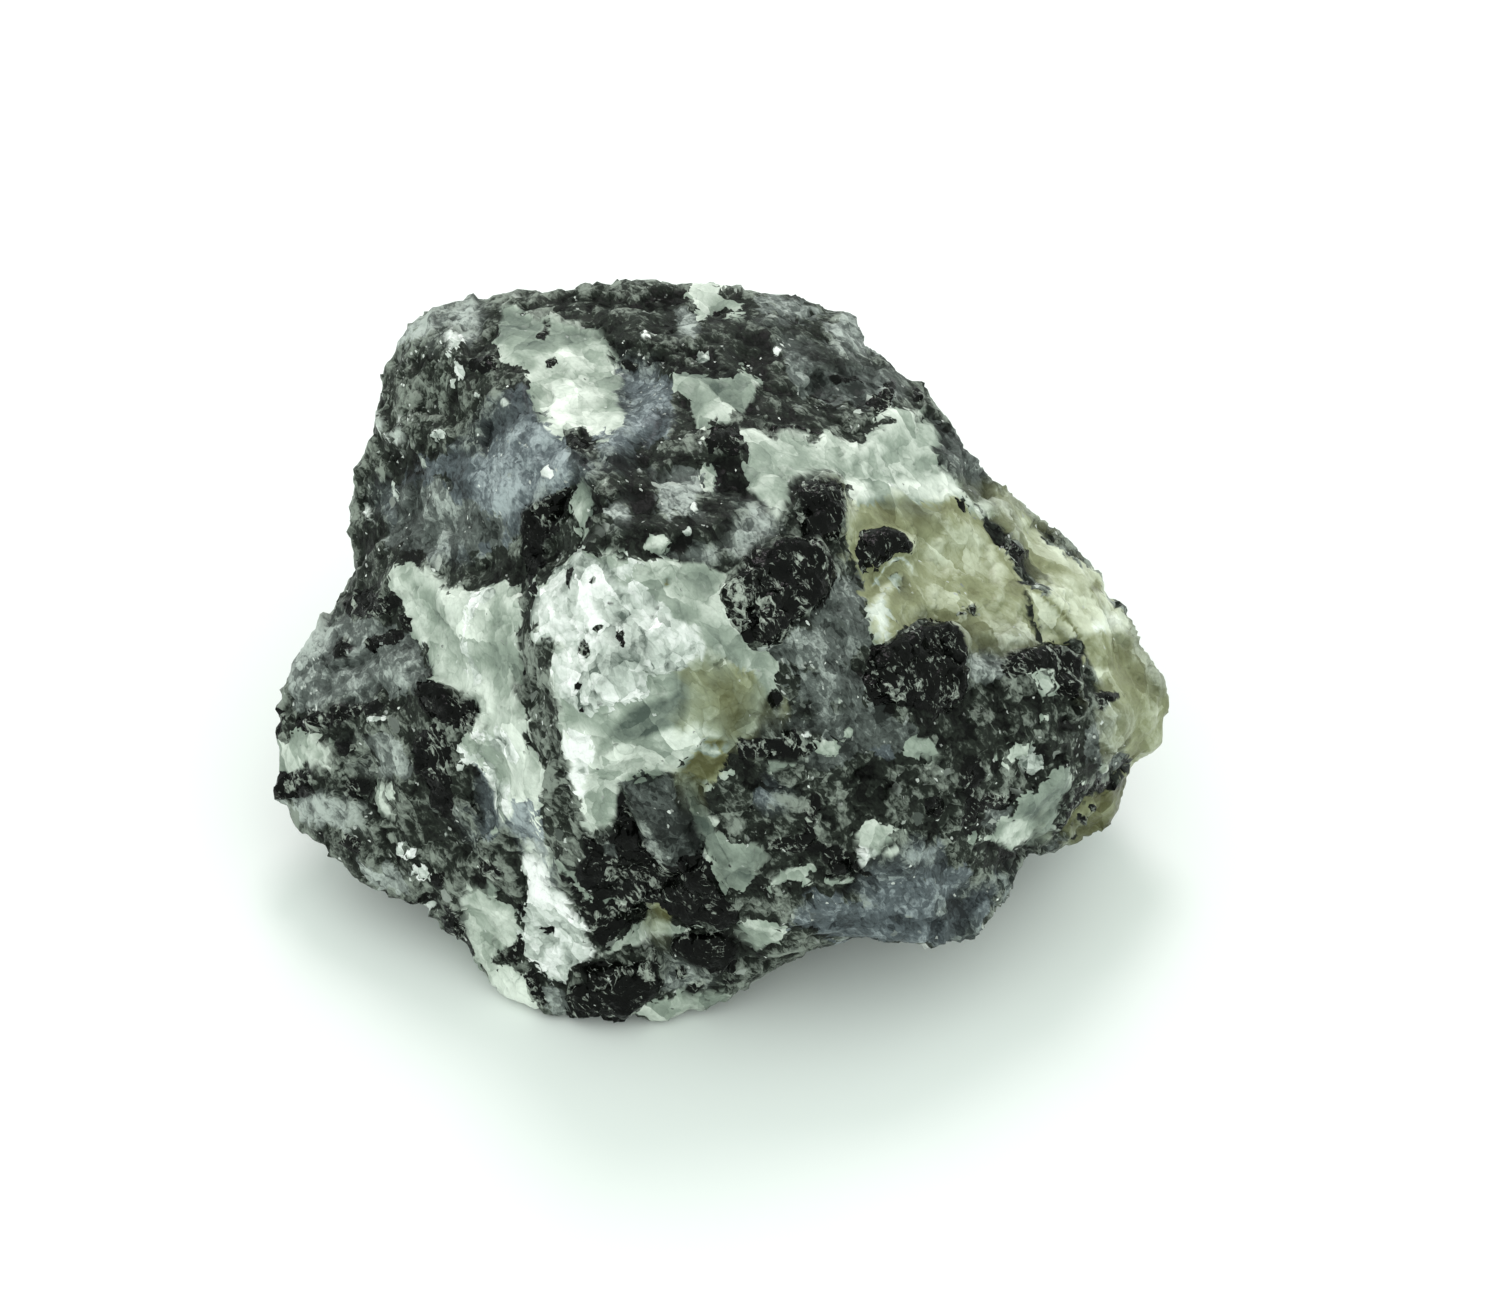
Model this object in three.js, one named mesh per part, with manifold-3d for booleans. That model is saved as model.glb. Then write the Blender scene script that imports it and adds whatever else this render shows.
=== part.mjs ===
// A rough hand specimen of coarse rock: black crystals in pale quartz and grey feldspar, broken all round.
// Millimetres, +Z up. It lies on a flat base at z = 0, with the origin under the middle of its box.
import * as THREE from "three";
import { ConvexHull } from "three/addons/math/ConvexHull.js";
import { ImprovedNoise } from "three/addons/math/ImprovedNoise.js";
import { mergeVertices } from "three/addons/utils/BufferGeometryUtils.js";
import Module from "manifold-3d";

// The broken faces are sighted from one standpoint in front of the rock and above it.
const SIGHT_ELEVATION = THREE.MathUtils.degToRad(45);
const SIGHT_DISTANCE = 600;
const SIGHT_HEIGHT = 22.5; // of the sighted centre above the base
const CENTRE = new THREE.Vector3(-2, 2, 21); // every corner of the rock can be seen from this inner point

const FRONT_EDGE = 2.8; // longest edge of the surface where it faces the standpoint
const BACK_EDGE = 4.2; // and longest edge behind and below
const TURNED_AWAY = -9; // how near a point is where the back begins
const RELAXING = [0.45, -0.47]; // in and out again, which eases creases and keeps the size
const ROUGHNESS = [
  { wavelength: 10, height: 1 },
  { wavelength: 4.8, height: 0.7 },
];
const MEAN_CREST = 0.5; // of the relief, so that it adds as much as it takes away
const CRYSTAL_ROOT = 5; // how deep a crystal reaches into the rock
const CHAMFER = 0.9; // of a crystal's broken edge
const MERGE = 1e-4; // vertices closer than this are one
const CUTTER = 300; // side of the block that cuts the base flat

// Sighted points are [right, up, near], from the sighted centre, and hidden ones are [x, y, z].
const TOP_RIM = [
  [-28, 34, -6], [-25, 35.4, -6], [-21.5, 35.6, -5], [-18.5, 34.4, -3], [-16, 35.9, -4], [-13, 37, -5],
  [-8, 36.2, -4], [-4, 35, -2], [-1.4, 37.2, -5], [3.5, 36.3, -5], [9.5, 33.9, -5], [12.9, 33.2, -5],
];
const RIGHT_RIM = [
  [14.8, 30.5, -3], [20, 26, -2], [22.5, 23, -1], [25.2, 18.5, 0], [26.9, 15.4, 1], [28.8, 14.7, -2],
  [32.5, 12, -2], [35.5, 8.9, -2], [37.9, 8.4, -4], [38.5, 6, -3], [40.8, 2.8, -3], [42.2, -0.5, -3],
  [44.8, -3.2, -3], [45.3, -5.6, -3], [44.3, -9.2, -4], [41.2, -11.6, -4], [40.3, -14.2, -6],
  [38.9, -17.2, -6], [36.5, -19.1, -5], [33.5, -19.8, -2],
];
const LOWER_RIM = [
  [30.8, -20.9, 2], [28.9, -22.4, 6], [28.5, -25.2, 8], [25.5, -28.3, 11], [21, -29.7, 14], [17, -28.9, 15],
  [13, -28.6, 15], [8, -29.4, 14], [4.8, -30.1, 13], [3, -31.2, 10], [1.9, -33.6, 7], [-1.5, -36.1, 5.5],
  [-5.5, -36.9, 6.2], [-12, -36.4, 6], [-15, -36.7, 6], [-17.6, -35.9, 5], [-21.1, -34.3, 4],
  [-23.6, -32.3, 3], [-25.8, -29, 3], [-27.6, -26.4, 3],
];
const LEFT_RIM = [
  [-32, -25.3, 2], [-36, -22.8, 1], [-39, -20.3, 0], [-42.7, -17.4, -3], [-44, -15, -4], [-43.5, -12, -3],
  [-44, -8.2, -4], [-43.4, -4.5, -4], [-42.5, -1, -4], [-40.6, 2.3, -4], [-37.6, 4.3, -3],
  [-36.6, 8, -4], [-37.2, 13.5, -6], [-36.2, 17, -6], [-35.7, 22, -6], [-33.9, 24.6, -6], [-33.6, 27.6, -7],
  [-32.5, 29.8, -6], [-30.8, 32.3, -6],
];
const LEFT_FACE = [
  [-29, 30, 0], [-32, 23, -1], [-32, 15, 1], [-33, 9, 2], [-25, 25, 6], [-25, 17, 9], [-25, 10.5, 11],
  [-19, 19, 15], [-18, 13, 17], [-22, 32, 1.5], [-21.5, 28, 6.5], [-17.5, 22.5, 14.5], [-14.2, 18.5, 20.5],
  [-32, 8, 5], [-27, 8.6, 9.5], [-22, 7, 14], [-19, 9, 17],
];
const TOP_FACE = [
  [-20, 32, 0.5], [-16, 31, 3], [-12, 30, 4.5], [-8, 27.5, 7.5], [-12, 25, 9.5], [-16.5, 26, 8.5],
  [-13.5, 21, 15.5], [-8, 22, 15], [-3.5, 23, 14.5], [-13, 34, -0.5], [-10, 33, 1.8], [-6, 31, 6.2],
  [-3, 28, 10.2], [-1, 25.5, 13.2], [-2, 34, -1.5], [3, 33, 1], [1, 28.5, 8], [6, 30, 4.6], [11, 31, 0.4],
  [7, 25, 10.5], [13, 26, 6.2], [17, 25, 3.6], [20, 23, 2.6], [-2, 21, 17], [0, 18, 19], [0, 24.5, 12],
];
const CENTRE_RIDGE = [
  [-16, 11.5, 17], [-13, 15, 19], [-11.8, 16, 23.5], [-12, 9, 26.5], [-8, 17, 21.5], [-4, 15, 24],
  [0, 13, 24.5], [-8, 11, 27], [-2, 9, 28], [2, 9, 26.5], [-16, 4, 25], [-12, 5, 28], [-7, 5, 29],
  [-10, 0, 30], [-4, 1, 30], [0, 1, 28.5], [-17.5, 0, 24.5], [-17, -5, 25], [-12, -5, 28.5],
  [-6, -5, 28.5], [0, -5, 27], [-15.5, -10, 25], [-12, -11, 25.5], [-7, -9, 27], [-2, -8.5, 26.5],
];
const FRONT_HOLLOW = [
  [-13.5, -17.5, 20.5], [-10, -14, 22], [-3, -13, 23.5], [-8, -21, 16.5], [-1, -19, 21.5], [-12, -24, 13.5],
  [-6, -25, 14], [1.5, -26, 16.5], [-20, 1, 20], [-19.5, -7, 20.5], [-17.5, -15, 20.5], [-15.2, -22, 16],
];
const LEFT_VALLEY = [
  [-30.5, 5, 6], [-28, 0, 10.5], [-26, 5, 12], [-24.5, -3, 14.5], [-23, 1, 16.5], [-21.5, -10, 16],
  [-20, -16, 15], [-18, -23, 12],
];
const LEFT_LOBE = [
  [-36, 2, 2], [-40, -3, 0.8], [-33, -1, 6.5], [-38, -8, 4.2], [-31, -7, 10], [-26, -8, 13], [-40, -14, 1.8],
  [-33, -15, 7], [-27, -16, 10.5], [-34, -21, 3.6], [-28, -22, 7], [-24, -21, 10],
];
const FOOT = [
  [-25, -27, 4.6], [-21, -26, 8], [-17, -28, 9.5], [-19, -32, 6], [-14, -31, 8.8], [-12, -33.5, 8],
  [-7, -31, 10.5], [-2, -30, 12], [-3, -33.5, 8.6], [-8, -28, 10.6], [-2, -27.5, 12.4],
];
const PALE_SHELF = [
  [4, 21, 16.5], [5, 17, 20.5], [11, 20, 14.5], [18, 22, 6.4], [23, 20, 3.4], [18, 17, 11], [24, 16, 5],
  [14, 13, 17], [21, 13, 11], [18, 8, 15], [25, 9, 10.2], [28, 11, 6.8], [22, 4, 15], [28, 5, 11.5],
  [31, 2, 10.8], [10, 15, 20.5], [7, 6, 25.5], [2, 4, 28], [11, 9, 22.5], [13, 5, 22], [8, 1, 26.5],
  [15, 1, 22.5],
];
const RIGHT_LOBE = [
  [20, 0, 20.5], [24, -3, 18.5], [32, 0, 12.6], [37, -2, 8.4], [33, -6, 13.8], [39, -6, 6.5], [28, -8, 17],
  [21, -7, 21], [14, -5, 24], [7, -6, 25.5], [3, -11, 25], [10, -13, 24.5], [18, -14, 21.5], [26, -15, 17],
  [33, -13, 12.6], [38, -11, 6], [4, -20, 21], [11, -21, 21], [18, -20, 20.5], [25, -20, 15], [31, -18, 9],
  [37, -15, 1.5], [6, -26, 18], [13, -25.5, 18], [21, -25, 16.5], [26.5, -24, 11.5],
];
const RIGHT_EDGE = [
  [28, 14.5, 3], [30.5, 9, 6], [33, 5, 8], [35.5, 3, 6.8], [40, -4, 4], [42, -7, 1.5], [36, 6, 3], [39, 1, 3],
];
const BACK = [
  [-25, 31, 33], [-12, 35, 33], [2, 36, 34], [13, 32, 31], [22, 25, 28], [-33, 22, 24], [-20, 34, 20],
  [-4, 38, 22], [12, 36, 19], [26, 25, 18], [35, 13, 17], [41, 2, 12], [-30, 15, 9], [-16, 28, 6],
  [0, 33, 8], [14, 29, 6], [25, 18, 6], [33, 5, 7],
];
const UNDERSIDE = [
  [-38, 3, 12], [-38, -5, 5], [-31, -13, 3], [16, -23, 7], [25, -17, 7], [30, -9, 5], [37, -3, 6],
  [-20, -16, -1], [-22, -4, -1], [-17, 10, -1], [-5, 17, -1], [9, 15, -1], [17, 4, -1], [17, -7, -1],
  [10, -14, -1], [0, -22, -1],
];

// Black crystals stand proud of the broken faces. Each outline is [right, up] on its own flat top.
const CRYSTALS = [
  {
    proud: 1.7,
    outline: [
      [3.6, 9.8], [6.2, 11.4], [10.2, 10.8], [10.8, 9.4], [10.4, 6], [8.7, 3.5], [5.3, 0.4], [3.9, 0.2],
      [2.2, 1.8], [0.7, 3.9], [0.5, 5.8], [1.8, 7.7],
    ],
  },
  {
    proud: 1.5,
    outline: [
      [7.6, 15.2], [8.1, 16.7], [9.9, 17.5], [11.8, 17.1], [12.4, 15.9], [12.4, 11.4], [8.7, 11.6],
    ],
  },
  {
    proud: 1.4,
    outline: [
      [13.7, 9.8], [14.3, 11.5], [15.6, 12.3], [17.3, 12.1], [19.2, 11.2], [19.1, 9.6], [17.1, 9.4],
      [14.3, 7.7],
    ],
  },
  {
    proud: 1.8,
    outline: [
      [15.2, -0.3], [17.1, 0.6], [20.8, 2.6], [23.3, 2.6], [24.6, 1.2], [24.8, -1.7], [24.4, -4], [21, -5.7],
      [17.1, -5.5], [15, -4.5],
    ],
  },
  {
    proud: 1.9,
    outline: [
      [28.3, -0.9], [31.1, 0.1], [33.9, 0.4], [36, -0.6], [36.2, -3.2], [35.7, -6.5], [33.7, -7.3], [29, -4.5],
    ],
  },
  {
    proud: 2,
    outline: [[-9.6, -12.6], [-6.9, -12.2], [-4.9, -12.5], [-1.2, -20.1], [-5.6, -21.8], [-8.4, -15.6]],
  },
  {
    proud: 1.6,
    outline: [[-4.9, -22.9], [-1.2, -20.6], [1.8, -25.3], [1.2, -27.3], [-1.2, -27.5], [-6.8, -24.6]],
  },
  {
    proud: 1.6,
    outline: [
      [-4.9, -29.2], [-3, -28.2], [-0.6, -28.1], [1.4, -29], [1.9, -30.6], [-1.2, -32.3], [-3.4, -30.6],
    ],
  },
  {
    proud: 1.4,
    outline: [
      [-13.8, -31.2], [-8.6, -30.3], [-5.2, -29.6], [-6, -33.8], [-9, -36.2], [-14.6, -36], [-15, -34.6],
    ],
  },
];

const RIGHT = new THREE.Vector3(1, 0, 0);
const UP = new THREE.Vector3(0, Math.sin(SIGHT_ELEVATION), Math.cos(SIGHT_ELEVATION));
const NEAR = new THREE.Vector3(0, -Math.cos(SIGHT_ELEVATION), Math.sin(SIGHT_ELEVATION));
const SIGHT_CENTRE = new THREE.Vector3(0, 0, SIGHT_HEIGHT);
const STANDPOINT = SIGHT_CENTRE.clone().addScaledVector(NEAR, SIGHT_DISTANCE);

const wasm = await Module();
wasm.setup();
const noise = new ImprovedNoise();

// The point of a sight line that lies the given distance in front of the sighted centre.
function sighted([right, up, near]) {
  const narrowing = 1 - near / SIGHT_DISTANCE;
  return SIGHT_CENTRE.clone()
    .addScaledVector(RIGHT, right * narrowing)
    .addScaledVector(UP, up * narrowing)
    .addScaledVector(NEAR, near);
}

// A closed surface through the corners: neighbours as seen from the centre share a facet.
function facetsThrough(corners, centre) {
  const directions = corners.map((corner) => corner.clone().sub(centre).normalize());
  const cornerOf = new Map(directions.map((direction, i) => [direction, corners[i]]));
  const positions = [];
  for (const face of new ConvexHull().setFromPoints(directions).faces) {
    let edge = face.edge;
    do {
      positions.push(...cornerOf.get(edge.head().point).toArray());
      edge = edge.next;
    } while (edge !== face.edge);
  }
  const position = new THREE.Float32BufferAttribute(positions, 3);
  return new THREE.BufferGeometry().setAttribute("position", position);
}

function verticesOf(geometry) {
  const { position } = geometry.attributes;
  const vertex = (_, i) => new THREE.Vector3().fromBufferAttribute(position, i);
  return Array.from({ length: position.count }, vertex);
}

// Longest edge that is left whole at a place.
function edgeLimit(place) {
  const near = place.clone().sub(SIGHT_CENTRE).dot(NEAR);
  return near < TURNED_AWAY ? BACK_EDGE : FRONT_EDGE;
}

// Halves every edge over its limit, again and again, and keeps the surface closed.
function refine(geometry) {
  const places = verticesOf(geometry);
  let triangles = [];
  for (let i = 0; i < geometry.index.count; i += 3) {
    triangles.push(Array.from(geometry.index.array.slice(i, i + 3)));
  }
  let halved = true;
  while (halved) {
    const middles = new Map();
    const middleOf = (a, b) => {
      const key = a < b ? `${a} ${b}` : `${b} ${a}`;
      if (!middles.has(key)) {
        const middle = places[a].clone().lerp(places[b], 0.5);
        const long = places[a].distanceTo(places[b]) > edgeLimit(middle);
        middles.set(key, long ? places.push(middle) - 1 : null);
      }
      return middles.get(key);
    };
    halved = false;
    const finer = [];
    for (const triangle of triangles) {
      const pieces = split(triangle, middleOf, places);
      halved = halved || pieces.length > 1;
      finer.push(...pieces);
    }
    triangles = finer;
  }
  return new THREE.BufferGeometry().setFromPoints(places).setIndex(triangles.flat());
}

// One triangle as the triangles between its corners and the middles of its long edges.
function split(triangle, middleOf, places) {
  const middles = triangle.map((corner, k) => middleOf(corner, triangle[(k + 1) % 3]));
  const cut = middles.filter((middle) => middle !== null).length;
  if (cut === 0) {
    return [triangle];
  }
  if (cut === 3) {
    const [a, b, c] = triangle;
    const [ab, bc, ca] = middles;
    return [[a, ab, ca], [ab, b, bc], [ca, bc, c], [ab, bc, ca]];
  }
  const first = cut === 1 ? middles.findIndex((m) => m !== null) : (middles.indexOf(null) + 1) % 3;
  const [a, b, c] = [0, 1, 2].map((k) => triangle[(first + k) % 3]);
  const [ab, bc] = [0, 1].map((k) => middles[(first + k) % 3]);
  if (cut === 1) {
    return [[a, ab, c], [ab, b, c]];
  }
  const acrossFromA = places[a].distanceTo(places[bc]) < places[c].distanceTo(places[ab]);
  const rest = acrossFromA ? [[a, ab, bc], [a, bc, c]] : [[a, ab, c], [ab, bc, c]];
  return [[ab, b, bc], ...rest];
}

// The same surface with shared vertices and no attribute but position.
function welded(geometry) {
  const bare = geometry.clone();
  bare.deleteAttribute("normal");
  bare.deleteAttribute("uv");
  return mergeVertices(bare, MERGE);
}

// Each vertex's neighbours along the edges.
function neighboursIn(geometry) {
  const neighbours = Array.from({ length: geometry.attributes.position.count }, () => new Set());
  const index = geometry.index.array;
  for (let i = 0; i < index.length; i += 3) {
    for (let k = 0; k < 3; k++) {
      neighbours[index[i + k]].add(index[i + ((k + 1) % 3)]);
      neighbours[index[i + ((k + 1) % 3)]].add(index[i + k]);
    }
  }
  return neighbours;
}

// Eases the creases between facets, as weathering does.
function relax(geometry) {
  const position = geometry.attributes.position;
  const neighbours = neighboursIn(geometry);
  for (const share of RELAXING) {
    const before = verticesOf(geometry);
    before.forEach((vertex, i) => {
      const middle = new THREE.Vector3();
      neighbours[i].forEach((n) => middle.add(before[n]));
      middle.divideScalar(neighbours[i].size);
      position.setXYZ(i, ...vertex.clone().lerp(middle, share).toArray());
    });
  }
}

// Broken relief, with sharp crests between shallow bowls, out of the surface along its normals.
function roughen(geometry) {
  geometry.computeVertexNormals();
  const position = geometry.attributes.position;
  const normal = geometry.attributes.normal;
  for (let i = 0; i < position.count; i++) {
    const vertex = new THREE.Vector3().fromBufferAttribute(position, i);
    let rise = 0;
    for (const { wavelength, height } of ROUGHNESS) {
      const crest = 1 - 2 * Math.abs(noise.noise(...vertex.clone().divideScalar(wavelength).toArray()));
      rise += height * (crest - MEAN_CREST);
    }
    vertex.addScaledVector(new THREE.Vector3().fromBufferAttribute(normal, i), rise);
    position.setXYZ(i, ...vertex.toArray());
  }
}

function solidOf(geometry) {
  const closed = welded(geometry);
  const vertProperties = new Float32Array(closed.attributes.position.array);
  const triVerts = new Uint32Array(closed.index.array);
  return new wasm.Manifold(new wasm.Mesh({ numProp: 3, vertProperties, triVerts }));
}

function geometryOf(solid) {
  const { vertProperties, triVerts } = solid.getMesh();
  return new THREE.BufferGeometry()
    .setAttribute("position", new THREE.Float32BufferAttribute(vertProperties, 3))
    .setIndex(new THREE.BufferAttribute(triVerts, 1));
}

// The broken mass of the rock, before its crystals and its base.
function brokenMass() {
  const seen = [
    TOP_RIM, RIGHT_RIM, LOWER_RIM, LEFT_RIM, LEFT_FACE, TOP_FACE, CENTRE_RIDGE, FRONT_HOLLOW, LEFT_VALLEY,
    LEFT_LOBE, FOOT, PALE_SHELF, RIGHT_LOBE, RIGHT_EDGE,
  ];
  const hidden = [BACK, UNDERSIDE];
  const corners = [
    ...seen.flat().map(sighted),
    ...hidden.flat().map((place) => new THREE.Vector3(...place)),
  ];
  const facets = facetsThrough(corners, CENTRE);
  const refined = refine(welded(facets));
  relax(refined);
  roughen(refined);
  return refined;
}

// The ray from the standpoint through a point of the sighting plane.
function sightLine([right, up]) {
  const aim = sighted([right, up, 0]).sub(STANDPOINT).normalize();
  return new THREE.Ray(STANDPOINT, aim);
}

// A flat-topped crystal, seated on the surface that its outline covers and rooted in the rock.
function crystal({ outline, proud }, surface) {
  const lines = outline.map(sightLine);
  const casts = lines.map((line) => new THREE.Raycaster(line.origin, line.direction));
  const hits = casts.map((cast) => cast.intersectObject(surface)[0]);
  const normal = new THREE.Vector3();
  const seat = new THREE.Vector3();
  for (const hit of hits) {
    normal.add(hit.face.normal);
    seat.addScaledVector(hit.point, 1 / hits.length);
  }
  normal.normalize();
  const across = RIGHT.clone().projectOnPlane(normal).normalize();
  const along = new THREE.Vector3().crossVectors(normal, across);
  const plane = new THREE.Plane().setFromNormalAndCoplanarPoint(normal, seat);
  const flat = lines.map((line) => {
    const corner = line.intersectPlane(plane, new THREE.Vector3()).sub(seat);
    return new THREE.Vector2(corner.dot(across), corner.dot(along));
  });
  const prism = new THREE.ExtrudeGeometry(new THREE.Shape(flat), {
    depth: CRYSTAL_ROOT + proud - CHAMFER,
    bevelThickness: CHAMFER,
    bevelSize: CHAMFER,
    bevelOffset: -CHAMFER,
    bevelSegments: 1,
  });
  const place = new THREE.Matrix4()
    .makeBasis(across, along, normal)
    .setPosition(seat.addScaledVector(normal, -CRYSTAL_ROOT));
  return prism.applyMatrix4(place);
}

function rock() {
  const surface = new THREE.Mesh(brokenMass());
  let solid = solidOf(surface.geometry);
  for (const shape of CRYSTALS) {
    solid = solid.add(solidOf(crystal(shape, surface)));
  }
  const below = new THREE.BoxGeometry(CUTTER, CUTTER, CUTTER).translate(0, 0, -CUTTER / 2);
  const geometry = geometryOf(solid.subtract(solidOf(below)));
  geometry.computeBoundingBox();
  const middle = geometry.boundingBox.getCenter(new THREE.Vector3());
  geometry.translate(-middle.x, -middle.y, 0);
  const stone = new THREE.MeshStandardMaterial({ color: 0x6f7672, roughness: 0.7, metalness: 0 });
  const mesh = new THREE.Mesh(geometry, stone);
  mesh.name = "rock";
  return mesh;
}

const specimen = new THREE.Group();
specimen.add(rock());

export default specimen;
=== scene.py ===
"""The looks of a rough rock: its broken mineral surface, a pale floor and soft studio light."""

import logging
import math
from abc import ABC, abstractmethod
from dataclasses import dataclass, field
from enum import Enum

import bmesh
import bpy
import numpy as np
from mathutils import Matrix, Vector


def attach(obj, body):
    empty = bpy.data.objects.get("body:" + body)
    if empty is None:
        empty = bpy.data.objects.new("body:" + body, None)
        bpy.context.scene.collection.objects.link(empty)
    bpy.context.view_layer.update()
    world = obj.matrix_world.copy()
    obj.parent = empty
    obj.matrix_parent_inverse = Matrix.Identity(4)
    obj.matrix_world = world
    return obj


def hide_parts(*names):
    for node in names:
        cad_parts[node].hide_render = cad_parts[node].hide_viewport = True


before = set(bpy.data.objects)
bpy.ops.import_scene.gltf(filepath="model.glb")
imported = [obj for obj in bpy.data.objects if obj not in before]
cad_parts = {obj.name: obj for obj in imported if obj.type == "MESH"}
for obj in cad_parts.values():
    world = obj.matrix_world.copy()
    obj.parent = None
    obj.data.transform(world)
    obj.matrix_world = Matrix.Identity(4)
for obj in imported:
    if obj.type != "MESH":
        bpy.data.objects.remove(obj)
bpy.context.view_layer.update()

LOG = logging.getLogger("rough_rock")
MM = 0.001
FAR = 6.0
MIDDLE = (0.5, 0.5, 0.5)

Point = tuple[float, float]
Colour = tuple[int, int, int]
Socket = bpy.types.NodeSocket
Input = Socket | float | tuple


class Mineral(Enum):
    """The stone's minerals. A later one lies over an earlier one where both are present."""

    GROUND = 0
    GREY = 1
    BLUE = 2
    PALE = 3
    OLIVE = 4
    WHITE = 5
    BLACK = 6

    @property
    def attribute(self) -> str:
        """Name of the mesh attribute that holds how deep a point lies inside this mineral, in mm."""
        return f"{self.name.lower()}_depth"


GROUND, GREY, BLUE, PALE, OLIVE, WHITE, BLACK = Mineral
INCLUSIONS = (GREY, BLUE, PALE, OLIVE, WHITE, BLACK)


class Layer(Enum):
    """The mesh attributes that hold for every mineral."""

    TONE = "tone"
    LEDGES = "ledges"
    CLEAVAGE = "cleavage"
    LIFT = "lift"
    # How far a point stands out, used to paint highlight on crests and shade in crevices.
    CREST = "crest"


@dataclass(frozen=True)
class MineralFinish:
    """How one mineral looks.

    The colours are for a dark, a middle and a light tone, as 8-bit display values, and knee is the place
    from dark to light, 0 to 1, that has the middle colour. soft is how wide its edge fades in mm, and ragged
    how far the edge wanders, as a share of the common wander. cloud, blocks, shards, chips and grain are how
    far clouds, broken faces of three sizes and fine grains shift its tone; blocks and shards also carry
    painted shade across each face, lighter to one side. lines is how strong the painted glints along its
    cleavage steps are, and edge_glints how strong the painted glints along the edges between shards are;
    below zero it darkens those edges instead. crest is how much painted highlight its crests and painted
    shade its crevices get, and rim how much lighter the edge of a pale mineral is, partly chipped white and
    partly painted highlight. glints is how common small painted glints are, and bright how common larger
    flecks are, partly pale grains and partly painted glints. facets is how strongly its small broken faces
    tilt, cleavage how high its parallel steps are, ledges how high its larger faces step, and lift how far
    it stands out in mm.
    """

    dark: Colour
    middle: Colour
    light: Colour
    roughness: float
    soft: float
    ragged: float
    cloud: float
    blocks: float
    shards: float
    chips: float
    grain: float
    lines: float
    edge_glints: float
    crest: float
    rim: float
    glints: float
    bright: float
    facets: float
    cleavage: float
    ledges: float
    lift: float
    knee: float = 0.5


FINISHES: dict[Mineral, MineralFinish] = {
    GROUND: MineralFinish(
        dark=(6, 7, 5), middle=(40, 45, 39), light=(138, 145, 136), roughness=0.45, soft=0.1, ragged=1.0,
        cloud=0.35, blocks=0.4, shards=0.35, chips=0.4, grain=0.35, lines=0.2, edge_glints=0.2, crest=0.45,
        rim=0.0, glints=0.012, bright=0.012, facets=1.0, cleavage=0.5, ledges=1.0, lift=0.0,
    ),
    GREY: MineralFinish(
        dark=(40, 44, 42), middle=(96, 102, 99), light=(182, 189, 184), roughness=0.4, soft=0.35,
        ragged=1.0, cloud=0.35, blocks=0.3, shards=0.3, chips=0.35, grain=0.3, lines=0.15, edge_glints=0.1,
        crest=0.3, rim=0.0, glints=0.01, bright=0.008, facets=0.8, cleavage=0.4, ledges=0.8, lift=0.0,
    ),
    BLUE: MineralFinish(
        dark=(42, 47, 50), middle=(94, 102, 106), light=(170, 179, 182), roughness=0.35, soft=0.6,
        ragged=1.0, cloud=0.3, blocks=0.25, shards=0.25, chips=0.35, grain=0.3, lines=0.1, edge_glints=0.1,
        crest=0.25, rim=0.0, glints=0.01, bright=0.006, facets=0.6, cleavage=0.3, ledges=0.6, lift=0.0,
    ),
    PALE: MineralFinish(
        dark=(78, 89, 82), middle=(152, 163, 151), light=(236, 241, 232), roughness=0.3, soft=0.12,
        ragged=0.9, cloud=0.3, blocks=0.35, shards=0.2, chips=0.08, grain=0.08, lines=0.08, edge_glints=-0.08,
        crest=0.2, rim=0.15, glints=0.006, bright=0.0, facets=0.4, cleavage=0.3, ledges=0.6, lift=0.25,
    ),
    OLIVE: MineralFinish(
        dark=(84, 84, 52), middle=(140, 144, 112), light=(216, 221, 200), roughness=0.28, soft=0.8,
        ragged=0.9, cloud=0.35, blocks=0.3, shards=0.15, chips=0.08, grain=0.08, lines=0.08, edge_glints=-0.08,
        crest=0.2, rim=0.1, glints=0.006, bright=0.0, facets=0.4, cleavage=0.3, ledges=0.6, lift=0.15,
    ),
    WHITE: MineralFinish(
        dark=(96, 106, 99), middle=(196, 203, 196), light=(255, 255, 254), roughness=0.45, soft=0.1,
        ragged=1.0, cloud=0.4, blocks=0.5, shards=0.5, chips=0.25, grain=0.15, lines=0.1, edge_glints=-0.15,
        crest=0.3, rim=0.1, glints=0.0, bright=0.0, facets=0.8, cleavage=0.4, ledges=0.9, lift=0.4,
    ),
    BLACK: MineralFinish(
        dark=(1, 1, 1), middle=(8, 10, 7), light=(170, 177, 167), roughness=0.22, soft=0.06, ragged=0.6,
        cloud=0.1, blocks=0.35, shards=0.35, chips=0.4, grain=0.3, lines=0.55, edge_glints=0.15, crest=0.0,
        rim=0.0, glints=0.006, bright=0.001, facets=1.3, cleavage=1.0, ledges=1.1, lift=0.25, knee=0.7,
    ),
}


class Marking(ABC):
    """One patch of a mineral, as it is seen along the sight line, in mm right of and above its origin."""

    mineral: Mineral
    tone: float

    @abstractmethod
    def corners(self) -> np.ndarray:
        """The points that bound the marking."""

    @abstractmethod
    def depth(self, places: np.ndarray) -> np.ndarray:
        """How far each place lies inside the marking, in mm, below zero outside."""


def edge_distance(places: np.ndarray, start: np.ndarray, end: np.ndarray) -> np.ndarray:
    """Distance from places to one straight edge.

    Args:
        places: The places, one row each.
        start: The edge's first end.
        end: The edge's other end.

    Returns:
        One distance for each place.
    """
    run = end - start
    along = np.clip((places - start) @ run / max(run @ run, 1e-9), 0, 1)
    return np.linalg.norm(places - start - along[:, None] * run, axis=1)


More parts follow.
